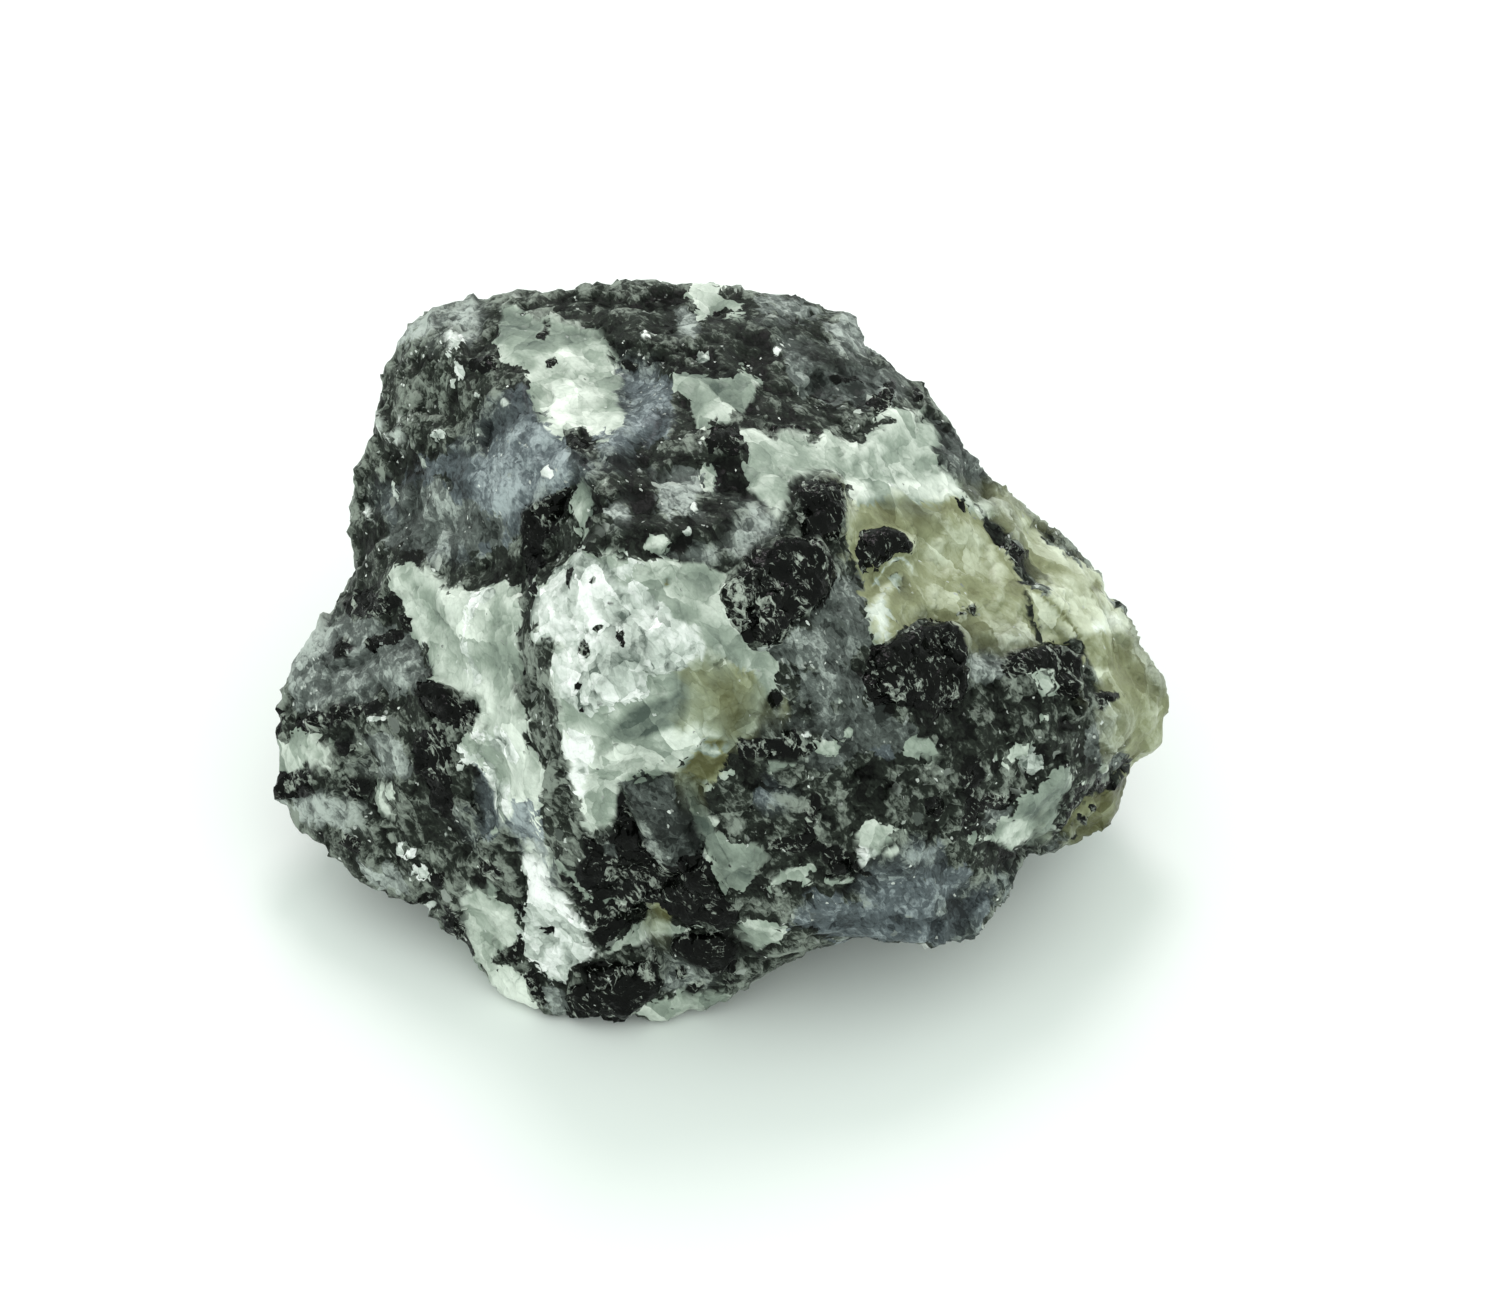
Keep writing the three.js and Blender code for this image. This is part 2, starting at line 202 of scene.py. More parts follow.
@dataclass(frozen=True)
class Patch(Marking):
    """An area of one mineral with a closed outline."""

    mineral: Mineral
    tone: float
    outline: tuple[Point, ...]

    def corners(self) -> np.ndarray:
        """The outline's points."""
        return np.array(self.outline)

    def depth(self, places: np.ndarray) -> np.ndarray:
        """How far each place lies inside the outline.

        Args:
            places: Places as rows of right and up.

        Returns:
            The distance to the outline, below zero outside it.
        """
        corners = self.corners()
        nearest = np.full(len(places), np.inf)
        inside = np.zeros(len(places), bool)
        for start, end in zip(corners, np.roll(corners, -1, axis=0)):
            nearest = np.minimum(nearest, edge_distance(places, start, end))
            if start[1] != end[1]:
                spans = (start[1] > places[:, 1]) != (end[1] > places[:, 1])
                slope = (end[0] - start[0]) / (end[1] - start[1])
                inside ^= spans & (places[:, 0] < start[0] + slope * (places[:, 1] - start[1]))
        return np.where(inside, nearest, -nearest)


@dataclass(frozen=True)
class Seam(Marking):
    """A thin line of one mineral, such as a crack or a crest."""

    mineral: Mineral
    tone: float
    width: float
    path: tuple[Point, ...]

    def corners(self) -> np.ndarray:
        """The points that the line passes."""
        return np.array(self.path)

    def depth(self, places: np.ndarray) -> np.ndarray:
        """Half the width less the distance to the line, for each place."""
        points = self.corners()
        away = [edge_distance(places, start, end) for start, end in zip(points, points[1:])]
        return self.width / 2 - np.min(away, axis=0)


@dataclass(frozen=True)
class Specks(Marking):
    """Round grains of one mineral and one size."""

    mineral: Mineral
    tone: float
    radius: float
    middles: tuple[Point, ...]

    def corners(self) -> np.ndarray:
        """The grains' middles."""
        return np.array(self.middles)

    def depth(self, places: np.ndarray) -> np.ndarray:
        """The radius less the distance to the nearest grain, for each place."""
        away = np.linalg.norm(places[:, None, :] - self.corners()[None], axis=2)
        return self.radius - away.min(axis=1)


def patches(mineral: Mineral, tone: float, *outlines: tuple[Point, ...]) -> tuple[Patch, ...]:
    """Patches of one mineral and one tone, one for each outline."""
    return tuple(Patch(mineral, tone, outline) for outline in outlines)


Markings = tuple[Marking, ...]

LEFT_FACE: Markings = (
    Patch(GROUND, 0.1, (
        (-33, 31), (-27, 31), (-22.6, 28), (-19.8, 25), (-24, 20), (-33.4, 15), (-37, 12), (-36, 22),
    )),
    Patch(BLUE, -0.5, (
        (-24, 20), (-22.4, 24), (-19.8, 27), (-17.5, 23), (-15.6, 21.3), (-13.8, 18.6), (-14.6, 16.8),
        (-18.5, 14.6), (-20.4, 11), (-25, 10), (-31, 10.4), (-33.4, 15), (-29, 19.4),
    )),
    Patch(BLUE, 0.3, (
        (-24, 20), (-20, 22.5), (-17.5, 23), (-15.6, 21.3), (-14.8, 19.6), (-13.8, 18.6), (-14.6, 16.8),
        (-17, 15.8), (-18.5, 14.6), (-22, 13), (-24.5, 14), (-25, 17),
    )),
    Patch(GREY, -0.1, (
        (-33, 16), (-28, 17), (-25, 15), (-22, 12.6), (-21, 10.6), (-25, 9.6), (-29, 9.4), (-33, 10.5),
    )),
    Patch(GREY, 0.8, (
        (-31.5, 31.8), (-29.5, 33.6), (-27, 34.6), (-25, 35.2), (-24.2, 34.5), (-24, 33), (-24.3, 31.6),
        (-25.5, 31), (-26.3, 31.8), (-27, 32.6), (-28, 32.2), (-29.5, 31), (-31, 30.8), (-32.3, 30.8),
    )),
    *patches(
        WHITE, 0.0,
        ((-27, 32), (-26.4, 31.8), (-26, 30.5), (-25.8, 29.5), (-26.2, 29), (-26.9, 29.3), (-27.1, 30.5)),
        ((-26.2, 29), (-25.7, 29), (-25.6, 27.6), (-25.9, 27), (-26.1, 27.5)),
    ),
    Patch(WHITE, 0.1, (
        (-34.5, 24), (-33.9, 23.5), (-33.1, 22.6), (-33.3, 21.6), (-32.2, 22.2), (-31.5, 21.6),
        (-31.3, 19.3), (-32, 20.3), (-33, 20.4), (-33.6, 20.2), (-33.6, 21.2), (-34.4, 22.2),
    )),
    *patches(
        WHITE, 0.0,
        ((-32.8, 16.9), (-32.3, 17), (-31.9, 15), (-32.2, 14.9), (-32.7, 15.8)),
        ((-35.9, 14.7), (-35.4, 14.4), (-34.8, 13.4), (-35.2, 13.1), (-35.7, 13.7)),
        ((-21.8, 24.9), (-21.3, 25.2), (-20.3, 23.3), (-20.9, 23.8), (-21.5, 24.4)),
    ),
    Patch(WHITE, -0.2, ((-17.8, 17.8), (-16.6, 18.2), (-16.6, 17.2), (-17.4, 17.4))),
    Specks(WHITE, 0.0, 0.35, (
        (-33.4, 25.5), (-29.5, 18.6), (-24.3, 25.4), (-28, 21.4), (-29, 13),
    )),
    Patch(BLACK, 0.0, ((-25, 28.9), (-22.8, 29.4), (-22.6, 28), (-23.6, 27.6), (-24.8, 28.2))),
)

UPPER_QUARTZ: Markings = (
    Patch(PALE, 0.3, (
        (-22.1, 33.8), (-21.6, 34.6), (-20.5, 34.3), (-19.8, 33.4), (-18.5, 33), (-17.2, 32.6),
        (-14.6, 32.6), (-13.3, 31.8), (-12, 31), (-11.2, 30.3), (-10.4, 29.3), (-10, 28.2), (-10.2, 26),
        (-10, 24.5), (-9.5, 22.6), (-10.6, 22.2), (-11.2, 21.4), (-12.6, 20.8), (-15.4, 21.4),
        (-16, 21.8), (-17, 23), (-18, 24.2), (-18, 25.4), (-18.8, 26.2), (-19.8, 27), (-20.5, 28.4),
        (-21.6, 29.2), (-21.9, 30), (-22.2, 32),
    )),
    Patch(PALE, -0.5, (
        (-22.1, 33.8), (-21.6, 34.6), (-19.8, 33.4), (-14.6, 32.6), (-12, 31), (-14, 30), (-17, 30),
        (-19, 27.4), (-21.9, 30), (-22.2, 32),
    )),
    Patch(PALE, 0.6, (
        (-18, 25.2), (-16.5, 26), (-14.5, 27), (-12.5, 27), (-11.5, 25.5), (-11.6, 23.5), (-12.4, 21.2),
        (-13.6, 21.6), (-15, 22.2), (-16, 22.2), (-17.5, 23.8),
    )),
    Patch(BLUE, 0.2, (
        (-9.8, 28), (-8, 27.6), (-5, 26.8), (-4.2, 26.3), (-4.6, 25), (-5, 23.5), (-5, 22), (-6, 20.5),
        (-8, 19.8), (-10, 19.5), (-11.5, 19.5), (-12.5, 20.5), (-10.6, 22.2), (-9.5, 22.6), (-10, 24.5),
    )),
    Patch(BLUE, -0.5, (
        (-5, 24), (-5, 22), (-6, 20.5), (-8, 19.8), (-11, 19.5), (-8, 21.4), (-6.4, 23),
    )),
    Patch(GROUND, -0.8, (
        (-16.5, 33), (-14, 33), (-12.5, 31.6), (-11, 30.6), (-9.5, 29.2), (-6, 28.4), (-4, 27),
        (-5.5, 29.2), (-9, 31), (-12, 33), (-15, 34),
    )),
    *patches(
        BLACK, 0.0,
        ((-15.3, 22.4), (-14.9, 21.8), (-13.8, 21.6), (-12.6, 21), (-12.5, 20.2), (-13, 19.3),
         (-13.8, 18.8), (-14.6, 19.4), (-15.1, 20.3)),
        ((-18.4, 31.3), (-17.8, 31.7), (-17.4, 32.5), (-17, 32.6), (-17.1, 31.4), (-17.7, 30.8),
         (-18.4, 30.8)),
        ((-18.6, 29.2), (-18, 29.2), (-18.1, 28.2), (-18.6, 28.3)),
        ((-17.5, 29.1), (-16.6, 29), (-16.2, 28.6), (-16.8, 28), (-17.5, 28.1)),
        ((-10.2, 28.8), (-9, 28.7), (-8, 28.2), (-8.6, 27.6), (-9.8, 27.8)),
    ),
)

TOP_FACE: Markings = (
    Patch(GROUND, -0.4, (
        (-15, 34), (-12, 36), (-4, 35.4), (4, 36), (12, 34), (15, 30), (18, 27), (14, 23), (8, 22),
        (2, 22.4), (-4, 27), (-9, 30),
    )),
    Patch(GREY, 0.5, (
        (-4.6, 34), (-4, 33), (-4, 31.4), (-2.3, 31.3), (-2.1, 32.8), (-2.6, 33.8), (-3.4, 34.5),
        (-4.2, 34.6),
    )),
    Patch(GREY, -0.3, (
        (9.2, 28.2), (11.6, 28.6), (15, 28.4), (17.6, 27), (18.4, 25.4), (16.6, 23.8), (13, 24.4),
        (10.4, 25.6),
    )),
    Patch(GREY, -0.2, (
        (6.5, 31), (8, 31.2), (9.2, 30.4), (9.6, 28.4), (9.4, 26), (8, 25.2), (6.8, 27), (6.4, 29),
    )),
    Patch(GREY, 0.2, (
        (10.4, 33), (12.5, 33.6), (14, 32), (15, 30.4), (15.8, 29.2), (14.2, 28.6), (12, 29.4),
        (10.6, 31.2),
    )),
    Patch(GREY, 0.0, ((3.6, 35), (6, 34.8), (10, 34), (11, 33.4), (9, 33), (6, 33.2), (4, 33.4))),
    Patch(PALE, 0.3, (
        (-4, 35.3), (-3.3, 36), (-2.3, 36.8), (-1.4, 37.2), (-0.4, 36.9), (0.8, 36.6), (0.4, 35.4),
        (1, 34.8), (2.4, 34.4), (2.1, 33.4), (1, 33.2), (0, 33.8), (-0.8, 34), (-1.3, 33.2), (-2, 33),
        (-2.6, 34), (-3.2, 34.6),
    )),
    Patch(PALE, -0.15, (
        (-4.2, 27.2), (-3.2, 27.5), (-0.5, 27.2), (0.8, 27.2), (1.6, 27.8), (2.2, 28.4), (3, 27.6),
        (4, 26.8), (3.6, 25.6), (2.6, 24.4), (1, 23.3), (-0.4, 22.8), (-1.2, 22), (-1.8, 21.3),
        (-2.1, 22.4), (-3, 23.8), (-4, 25.4), (-4.6, 26.2),
    )),
    Patch(BLACK, 0.1, (
        (14.8, 24.6), (15.6, 25.6), (16.4, 26.6), (17.2, 26.6), (17.4, 26), (17.6, 25.2), (16.8, 24.2),
        (15.6, 23.9),
    )),
    *patches(
        BLACK, 0.0,
        ((18.6, 25.6), (19.4, 25.9), (20, 25.6), (20.1, 24.6), (19.3, 24.2), (18.6, 24.8)),
        ((10.9, 27.3), (11.6, 27.6), (12.6, 27.2), (13.6, 27.2), (14.6, 26.4), (13.4, 26.6), (12.6, 26.6),
         (11.4, 26.6)),
    ),
    Specks(WHITE, 0.2, 0.35, ((-1.6, 29.4), (-7.4, 31.4), (5.7, 29.8))),
)

PALE_BAND: Markings = (
    Patch(PALE, 0.15, (
        (2, 21.6), (3, 22), (4.2, 22), (5, 21.3), (6, 22), (6.6, 22.2), (7.6, 21.5), (9.8, 21),
        (10.6, 22.2), (11.6, 21.6), (12.4, 21.2), (13.4, 20.6), (14.6, 20.4), (15, 21.2), (16.2, 22.2),
        (17.6, 22.8), (20.4, 22.8), (21.4, 22.4), (21.8, 21.2), (21.2, 20.2), (21.2, 19.4), (22, 18.4),
        (23, 17.4), (23.8, 16.2), (24.2, 15.4), (23.4, 13.8), (22.2, 13.2), (20, 13.4), (15.5, 13.6),
        (14, 13.4), (13.4, 14.4), (12.4, 16.2), (12, 17.2), (10.6, 17.6), (9, 17.2), (7.6, 16.6), (7, 15),
        (6.2, 13.6), (5.6, 12.8), (5, 13.8), (4.2, 15), (3.4, 16.2), (2.8, 17.4), (2.2, 18.6), (2.6, 20),
        (2, 21),
    )),
    Patch(PALE, 0.2, ((15, 23.2), (17, 24), (20, 23.8), (20.4, 23.1), (17, 23))),
    Patch(GREY, -0.6, (
        (21.6, 23), (22.6, 22.2), (24, 21.6), (25, 20.4), (26.2, 19), (27, 17.4), (27, 16), (26, 15.2),
        (24.8, 15.1), (24.3, 15.8), (23.6, 17.2), (23.2, 18.4), (22, 18.6), (21.2, 20), (21.9, 21.4),
    )),
    Patch(PALE, 0.2, (
        (24.4, 14.8), (25.4, 14.6), (27.2, 15), (27.6, 13.8), (26.8, 13), (25.2, 13.6),
    )),
    # Painted shade: a black patch laid over a shadowed hollow at the left end of the pale band.
    Patch(BLACK, -0.2, (
        (-1, 22), (0, 22.4), (1.6, 22.4), (2, 21.4), (2.6, 20), (2.2, 18.8), (0.4, 18.8), (-0.6, 19.2),
        (-1, 20.6),
    )),
    Seam(BLACK, 0.0, 0.6, ((-0.2, 19), (0, 17))),
    Seam(BLACK, 0.0, 0.5, ((5, 21.8), (7.4, 22), (10, 21.5))),
)

QUARTZ_FACE: Markings = (
    Patch(OLIVE, 0.0, (
        (12.6, 15.6), (14, 14.7), (18, 15), (22, 14.4), (23.4, 14.8), (24.4, 13.6), (26.2, 12.8),
        (27, 12), (28, 10.4), (29, 8.6), (29.6, 7), (30.4, 6.4), (31, 5), (31.4, 3.6), (32, 2),
        (31.8, 0.8), (29.6, 0.6), (28, 1), (26.4, 0.6), (25, 0.6), (24.4, 1.6), (23.6, 2.6), (20.4, 2.6),
        (18.6, 2), (17.4, 1.4), (16.8, 0.6), (16, 1.2), (15.6, 2.4), (15.6, 4), (14.6, 5.4), (14, 7.6),
        (12.6, 9),
    )),
    Patch(OLIVE, 0.45, (
        (19.6, 9), (22, 12), (24.6, 12.4), (27, 10.4), (28.4, 8), (28.6, 6), (25, 7.4), (22, 7),
    )),
    Patch(OLIVE, -0.2, (
        (12.5, 15.6), (14, 14.7), (18, 15), (22, 14.4), (23, 13.4), (20.6, 13), (19.6, 11.6),
        (17.6, 12.4), (15, 12.6), (13.4, 12), (12.6, 10.8),
    )),
    Patch(OLIVE, 0.5, (
        (12.4, 15.8), (13.6, 15.6), (14, 14.4), (13.4, 12.4), (13.2, 9.6), (12.6, 8), (12.2, 10.6),
    )),
    Patch(OLIVE, 0.0, (
        (13.4, 7.6), (16, 7), (18.6, 6.6), (20.6, 8), (20.4, 11), (19.2, 12), (19.4, 9.6), (16.8, 9),
    )),
    Patch(PALE, 0.7, (
        (12.2, 17), (16, 16.8), (20, 16.8), (22.6, 17.4), (23.8, 15.8), (23, 15), (20, 14.8),
        (15.6, 15.2), (14, 15.4), (12.8, 16),
    )),
    Patch(OLIVE, 0.25, (
        (24.6, 3), (26, 5), (28, 5.4), (30.6, 5), (31.4, 3.6), (32, 1), (29.6, 0.6), (27.6, 0.8),
        (26, 1.2), (25, 2),
    )),
    Patch(PALE, 0.7, (
        (14.8, 4), (15.4, 5), (16.4, 6.4), (17.6, 7), (17.4, 6), (16.6, 4.6), (16.8, 3), (17, 1.4),
        (16.2, 0.6), (15.6, 1.6), (15.4, 3),
    )),
    Patch(OLIVE, 0.45, (
        (27.2, 16), (28.4, 15.8), (29, 14.8), (30, 13.6), (33, 11), (35, 8.8), (37.4, 8.4), (38, 7.2),
        (38.6, 5.8), (39.4, 4.4), (41, 2), (41.4, 1), (43, -0.8), (44.4, -3.4), (46.4, -5.6),
        (45.4, -9.2), (41.4, -11.6), (40.4, -10.6), (39, -9.6), (38.4, -8.4), (39, -7), (40.2, -5.6),
        (39.6, -4.6), (38.4, -3.6), (37.2, -2.2), (36.4, -1), (36.4, 1), (34, 3.8), (32, 6.8), (31, 8.8),
        (30.4, 10), (29, 11.8), (27.6, 13.8),
    )),
    Patch(OLIVE, -0.4, ((36.4, 1.2), (38, 2), (40.4, 1.4), (41.4, -0.6), (40, -2.2), (37, -1.8))),
    Patch(OLIVE, -0.2, (
        (38.4, -2.5), (41.6, -1.2), (43.4, -3), (45.5, -5), (45.4, -9.2), (41.4, -11.6), (39, -9.6),
        (38.4, -7),
    )),
    Patch(OLIVE, 0.8, (
        (30.6, 6.4), (32.2, 5.2), (34, 3.6), (35.6, 2), (36.4, 1), (34.6, 0.8), (32.2, 0.8), (31.9, 2.4),
        (31.2, 4.4),
    )),
    Patch(PALE, 0.6, ((37.6, 2.2), (38.6, 3.6), (39.8, 2.8), (39.4, 1.8))),
    Patch(OLIVE, -0.8, ((37, 6), (37.6, 7), (38.2, 5.8))),
    Seam(PALE, 0.6, 0.3, ((15.3, 6.3), (17, 9), (18, 9.3), (19, 7.7))),
    Seam(OLIVE, -0.6, 0.3, ((30.6, 6.6), (33, 4.8), (36.2, 1.2))),
    *patches(
        BLACK, 0.0,
        ((26.4, 12.6), (27.6, 12.8), (28.4, 11.8), (28.8, 11), (30.4, 9.6), (30.6, 8.9), (29.8, 8.6),
         (30, 7.9), (29.4, 8), (28.6, 9.4), (27.8, 11), (27.2, 12.2)),
        ((23.4, 15), (24.3, 14.2), (24.5, 13.5), (23.9, 14)),
    ),
    Patch(BLACK, 0.2, ((23.6, 3.7), (24.6, 4.4), (25.6, 4.5), (26.2, 3.6), (25, 3.4))),
)

LEDGES: Markings = (
    Patch(GROUND, -0.6, (
        (-14, 9), (-14, 18), (-10, 19.4), (-4, 19.6), (0, 20), (2.2, 18.6), (3, 15), (0.4, 11), (-4, 9),
    )),
    # Painted shade: a black patch laid in the shadowed crevice left of the central block, under the left
    # face's lower edge.
    Patch(BLACK, -0.1, (
        (-19.8, 14), (-18, 14.6), (-16, 15.8), (-14.6, 16.2), (-15.4, 15), (-15.8, 13.4), (-16, 12),
        (-17, 10), (-17.2, 8.6), (-18, 7), (-17.6, 5.4), (-18.4, 5.4), (-19, 7.4), (-19.6, 9.4),
        (-19.8, 11.6),
    )),
    Patch(GREY, 0.5, (
        (-11.4, 14.6), (-10, 15.2), (-8.8, 15), (-8.6, 13.6), (-9.2, 12.8), (-10, 13), (-11.2, 13),
    )),
    *patches(
        GREY, 0.3,
        ((-6.4, 15.6), (-6.2, 16.6), (-5.2, 17.2), (-4.4, 18.2), (-2.6, 18.6), (-2, 18), (-1.2, 18.7),
         (-0.6, 18.3), (-0.2, 17), (-0.4, 16), (-1.4, 15.4), (-2, 14.8), (-2.4, 13.8), (-4, 13.6),
         (-5.6, 13.2), (-6.4, 14.2)),
        ((0.6, 11), (1, 12.2), (1.8, 13.2), (2.4, 14), (3.8, 14.6), (4.6, 14.4), (5.4, 13.4), (6, 12.4),
         (5, 11.4), (3.8, 10), (3, 9), (1.6, 9), (0.8, 9.8)),
    ),
    Patch(GREY, 0.1, (
        (-5, 9.6), (-3.6, 10), (-1, 10.6), (0, 10.4), (0.2, 9), (-1, 8.2), (-3, 8.8),
    )),
    Patch(PALE, 0.2, (
        (-13.8, 16.2), (-13.2, 16), (-13, 14.6), (-13.2, 10.6), (-13.6, 10.4), (-13.8, 12), (-14.2, 13.6),
        (-14.8, 14.8),
    )),
    Patch(PALE, 0.4, (
        (-7.6, 10.2), (-6.8, 11.4), (-5.2, 11.4), (-4.4, 11), (-4.8, 10.4), (-6, 10), (-7, 9.8),
    )),
    Patch(PALE, 0.1, (
        (-2, 18.4), (-1.2, 18.7), (-0.6, 18.2), (-0.2, 16.8), (-1, 15.6), (-1.8, 16.2), (-1.6, 17.2),
    )),
    Patch(PALE, 0.3, ((-11.8, 17), (-11, 17), (-10.8, 16.6), (-11.6, 16.4))),
    Specks(WHITE, 0.0, 0.35, ((-2.4, 14.3), (-8, 17.6), (-3.2, 11.8))),
    Patch(BLACK, 0.0, ((-10.4, 9.4), (-10, 9), (-10, 7.6), (-10.6, 8.6))),
)

WHITE_HEART: Markings = (
    Patch(PALE, 0.1, (
        (-18.6, 5), (-16, 8), (-13.8, 10), (-9, 9.4), (-5, 9), (-1, 8.4), (1, 7), (1.6, 3), (3.6, 0.4),
        (6, 0.8), (6.4, -2.6), (4.6, -5), (3.8, -8), (1, -9.4), (-1.6, -9.2), (-4, -12), (-9, -12.6),
        (-10.4, -16.6), (-13, -18.6), (-14.2, -16), (-15.4, -10), (-16.2, -6), (-16.6, -2), (-18.6, 1.4),
    )),
    Patch(PALE, -0.05, (
        (-5.2, 8.2), (-3, 8.6), (-1.4, 8), (0.4, 7.6), (2.4, 8.2), (1.4, 7.2), (0.6, 6.2), (0.5, 4.4),
        (1, 3), (2, 1.8), (3, 0.4), (4.2, 0), (6, 0.6), (6, -0.8), (5.2, -1.6), (6.2, -2.6), (7, -3.6),
        (6.4, -4.2), (5.2, -3.2), (4, -3), (3.4, -2), (2, -1.6), (0, -1.2), (-2, -1), (-2, -0.4),
        (-1.6, 0.6), (-2.6, 2.2), (-4, 4.6), (-5, 6),
    )),
    Patch(PALE, -0.9, (
        (-10.8, -8.6), (-10.2, -7.2), (-9, -6), (-7.4, -5.4), (-6, -5), (-5, -4.6), (-4, -4),
        (-3.8, -2.6), (-2.8, -2.2), (-2.6, -6), (-3.4, -7.4), (-3.4, -8.4), (-4.6, -7.8), (-6.4, -8.4),
        (-7.4, -9.1), (-9.6, -9),
    )),
    Patch(OLIVE, -0.25, (
        (-3.8, -1.6), (-2, -1.2), (0, -1.4), (2, -1.8), (3.4, -2.2), (4, -4), (3.8, -6), (3.2, -7.6),
        (2.2, -8.6), (1, -9), (0, -8.2), (-1.2, -8), (-2, -7.2), (-3.4, -7.6), (-2.8, -5),
    )),
    Patch(OLIVE, -0.9, (
        (-1.4, -9), (0.4, -9), (1.2, -9.6), (0.8, -11), (0, -12), (-1, -13), (-1.8, -13.6), (-2.8, -12.6),
        (-4, -12.6), (-3.6, -11.2), (-2.4, -10.2),
    )),
    Patch(WHITE, -0.2, (
        (-16, 8), (-15.2, 8.4), (-14.4, 8.8), (-13.8, 10.2), (-12.8, 9.8), (-11.6, 9.2), (-10.6, 8.2),
        (-10, 7.4), (-9.2, 7), (-8, 6.6), (-6.6, 6.2), (-6, 5.2), (-5, 4.6), (-4.4, 3.2), (-3.8, 2.4),
        (-2.6, 2.2), (-1.6, 0.6), (-2, -0.6), (-4, -1.4), (-5.4, -1.6), (-7, -2.6), (-7, -4.6),
        (-9, -4.8), (-11, -6), (-12.6, -6.4), (-13.8, -6), (-15, -5.4), (-15.8, -4.4), (-16, -3),
        (-16.4, -0.8), (-15.4, 0.4), (-16, 2), (-16.8, 1.2), (-18.4, 1.4), (-18.6, 3.4), (-18.4, 5),
        (-17, 5.2), (-16, 6), (-16.4, 7),
    )),
    Patch(WHITE, 0.35, (
        (-18.4, 5), (-16, 7.5), (-13, 6), (-11.6, 3), (-12, 0), (-13, -3), (-14.4, -5), (-16, -3),
        (-15.6, 0), (-17.6, 1.6),
    )),
    Patch(WHITE, 0.0, (
        (-9.8, 9), (-8.4, 9.2), (-7, 9), (-6, 9), (-6, 8.2), (-7.4, 7.8), (-8.4, 7.2), (-9.6, 7.6),
    )),
    Patch(PALE, -0.4, (
        (-4.4, 4.8), (-3.4, 4.6), (-2.4, 3.4), (-2.8, 2.6), (-3.8, 2.6), (-4.4, 3.6),
    )),
    Patch(PALE, 0.4, (
        (-11.6, -9.6), (-10, -9.1), (-8.4, -8.9), (-7.4, -9.2), (-6.6, -8.6), (-4.4, -7.9), (-3.6, -8.5),
        (-3, -8), (-2.2, -7.7), (-1.6, -8.2), (-1.7, -9.2), (-2.4, -10), (-3.4, -10.6), (-4, -11.4),
        (-4.4, -12.4), (-6.6, -12), (-9.2, -12.4), (-11.4, -11.2),
    )),
    Patch(PALE, 0.3, (
        (-13.4, -13), (-12, -12.4), (-10.2, -13), (-10.2, -16), (-11, -17.8), (-12, -17), (-12.6, -18.2),
        (-13, -18.6), (-13.6, -17.6), (-14, -16),
    )),
    Patch(WHITE, 0.5, (
        (-15.2, -8.2), (-14.4, -7.4), (-12.6, -7.6), (-12, -9), (-12.4, -11), (-13, -13), (-13.8, -15.6),
        (-14.4, -15), (-15, -12), (-15.2, -10),
    )),
    *patches(
        BLACK, 0.0,
        ((-12, 2.2), (-11.2, 2.3), (-11.2, 1.8), (-12.2, 1.5)),
        ((-10.2, 2.4), (-9.4, 2.6), (-9.1, 2.2), (-9.8, 2)),
        ((-10.6, 1.6), (-9.4, 1.8), (-9, 0.8), (-9.6, 0.1), (-10.4, 0.8)),
        ((-13.6, 0.9), (-12.8, 1), (-12.7, -0.2), (-13.2, -0.9), (-13.7, -0.4)),
        ((-14.6, 8), (-14, 8.2), (-14.4, 7), (-14.4, 5.8), (-14.8, 6.4)),
        ((-17.6, 1), (-16.6, 1), (-17.2, -0.4), (-17.8, 0)),
    ),
    Patch(OLIVE, -0.9, ((-5.6, 7.2), (-5, 7.2), (-4.8, 6.4), (-5.4, 6.2))),
    Specks(BLACK, 0.1, 0.3, ((-12.4, 6.9), (-10.7, 4.7), (-13.7, -3.6), (-13.4, -5.9))),
    Specks(PALE, 0.2, 0.4, (
        (-1.3, -9.8), (-0.2, -10), (0.6, -9.7), (0.6, -12.4), (1.4, -12.2), (-2.7, -13.6), (-1.1, -13.8),
    )),
    Specks(WHITE, 0.0, 0.4, ((-17.6, -2.6), (-17.7, -4.1))),
)

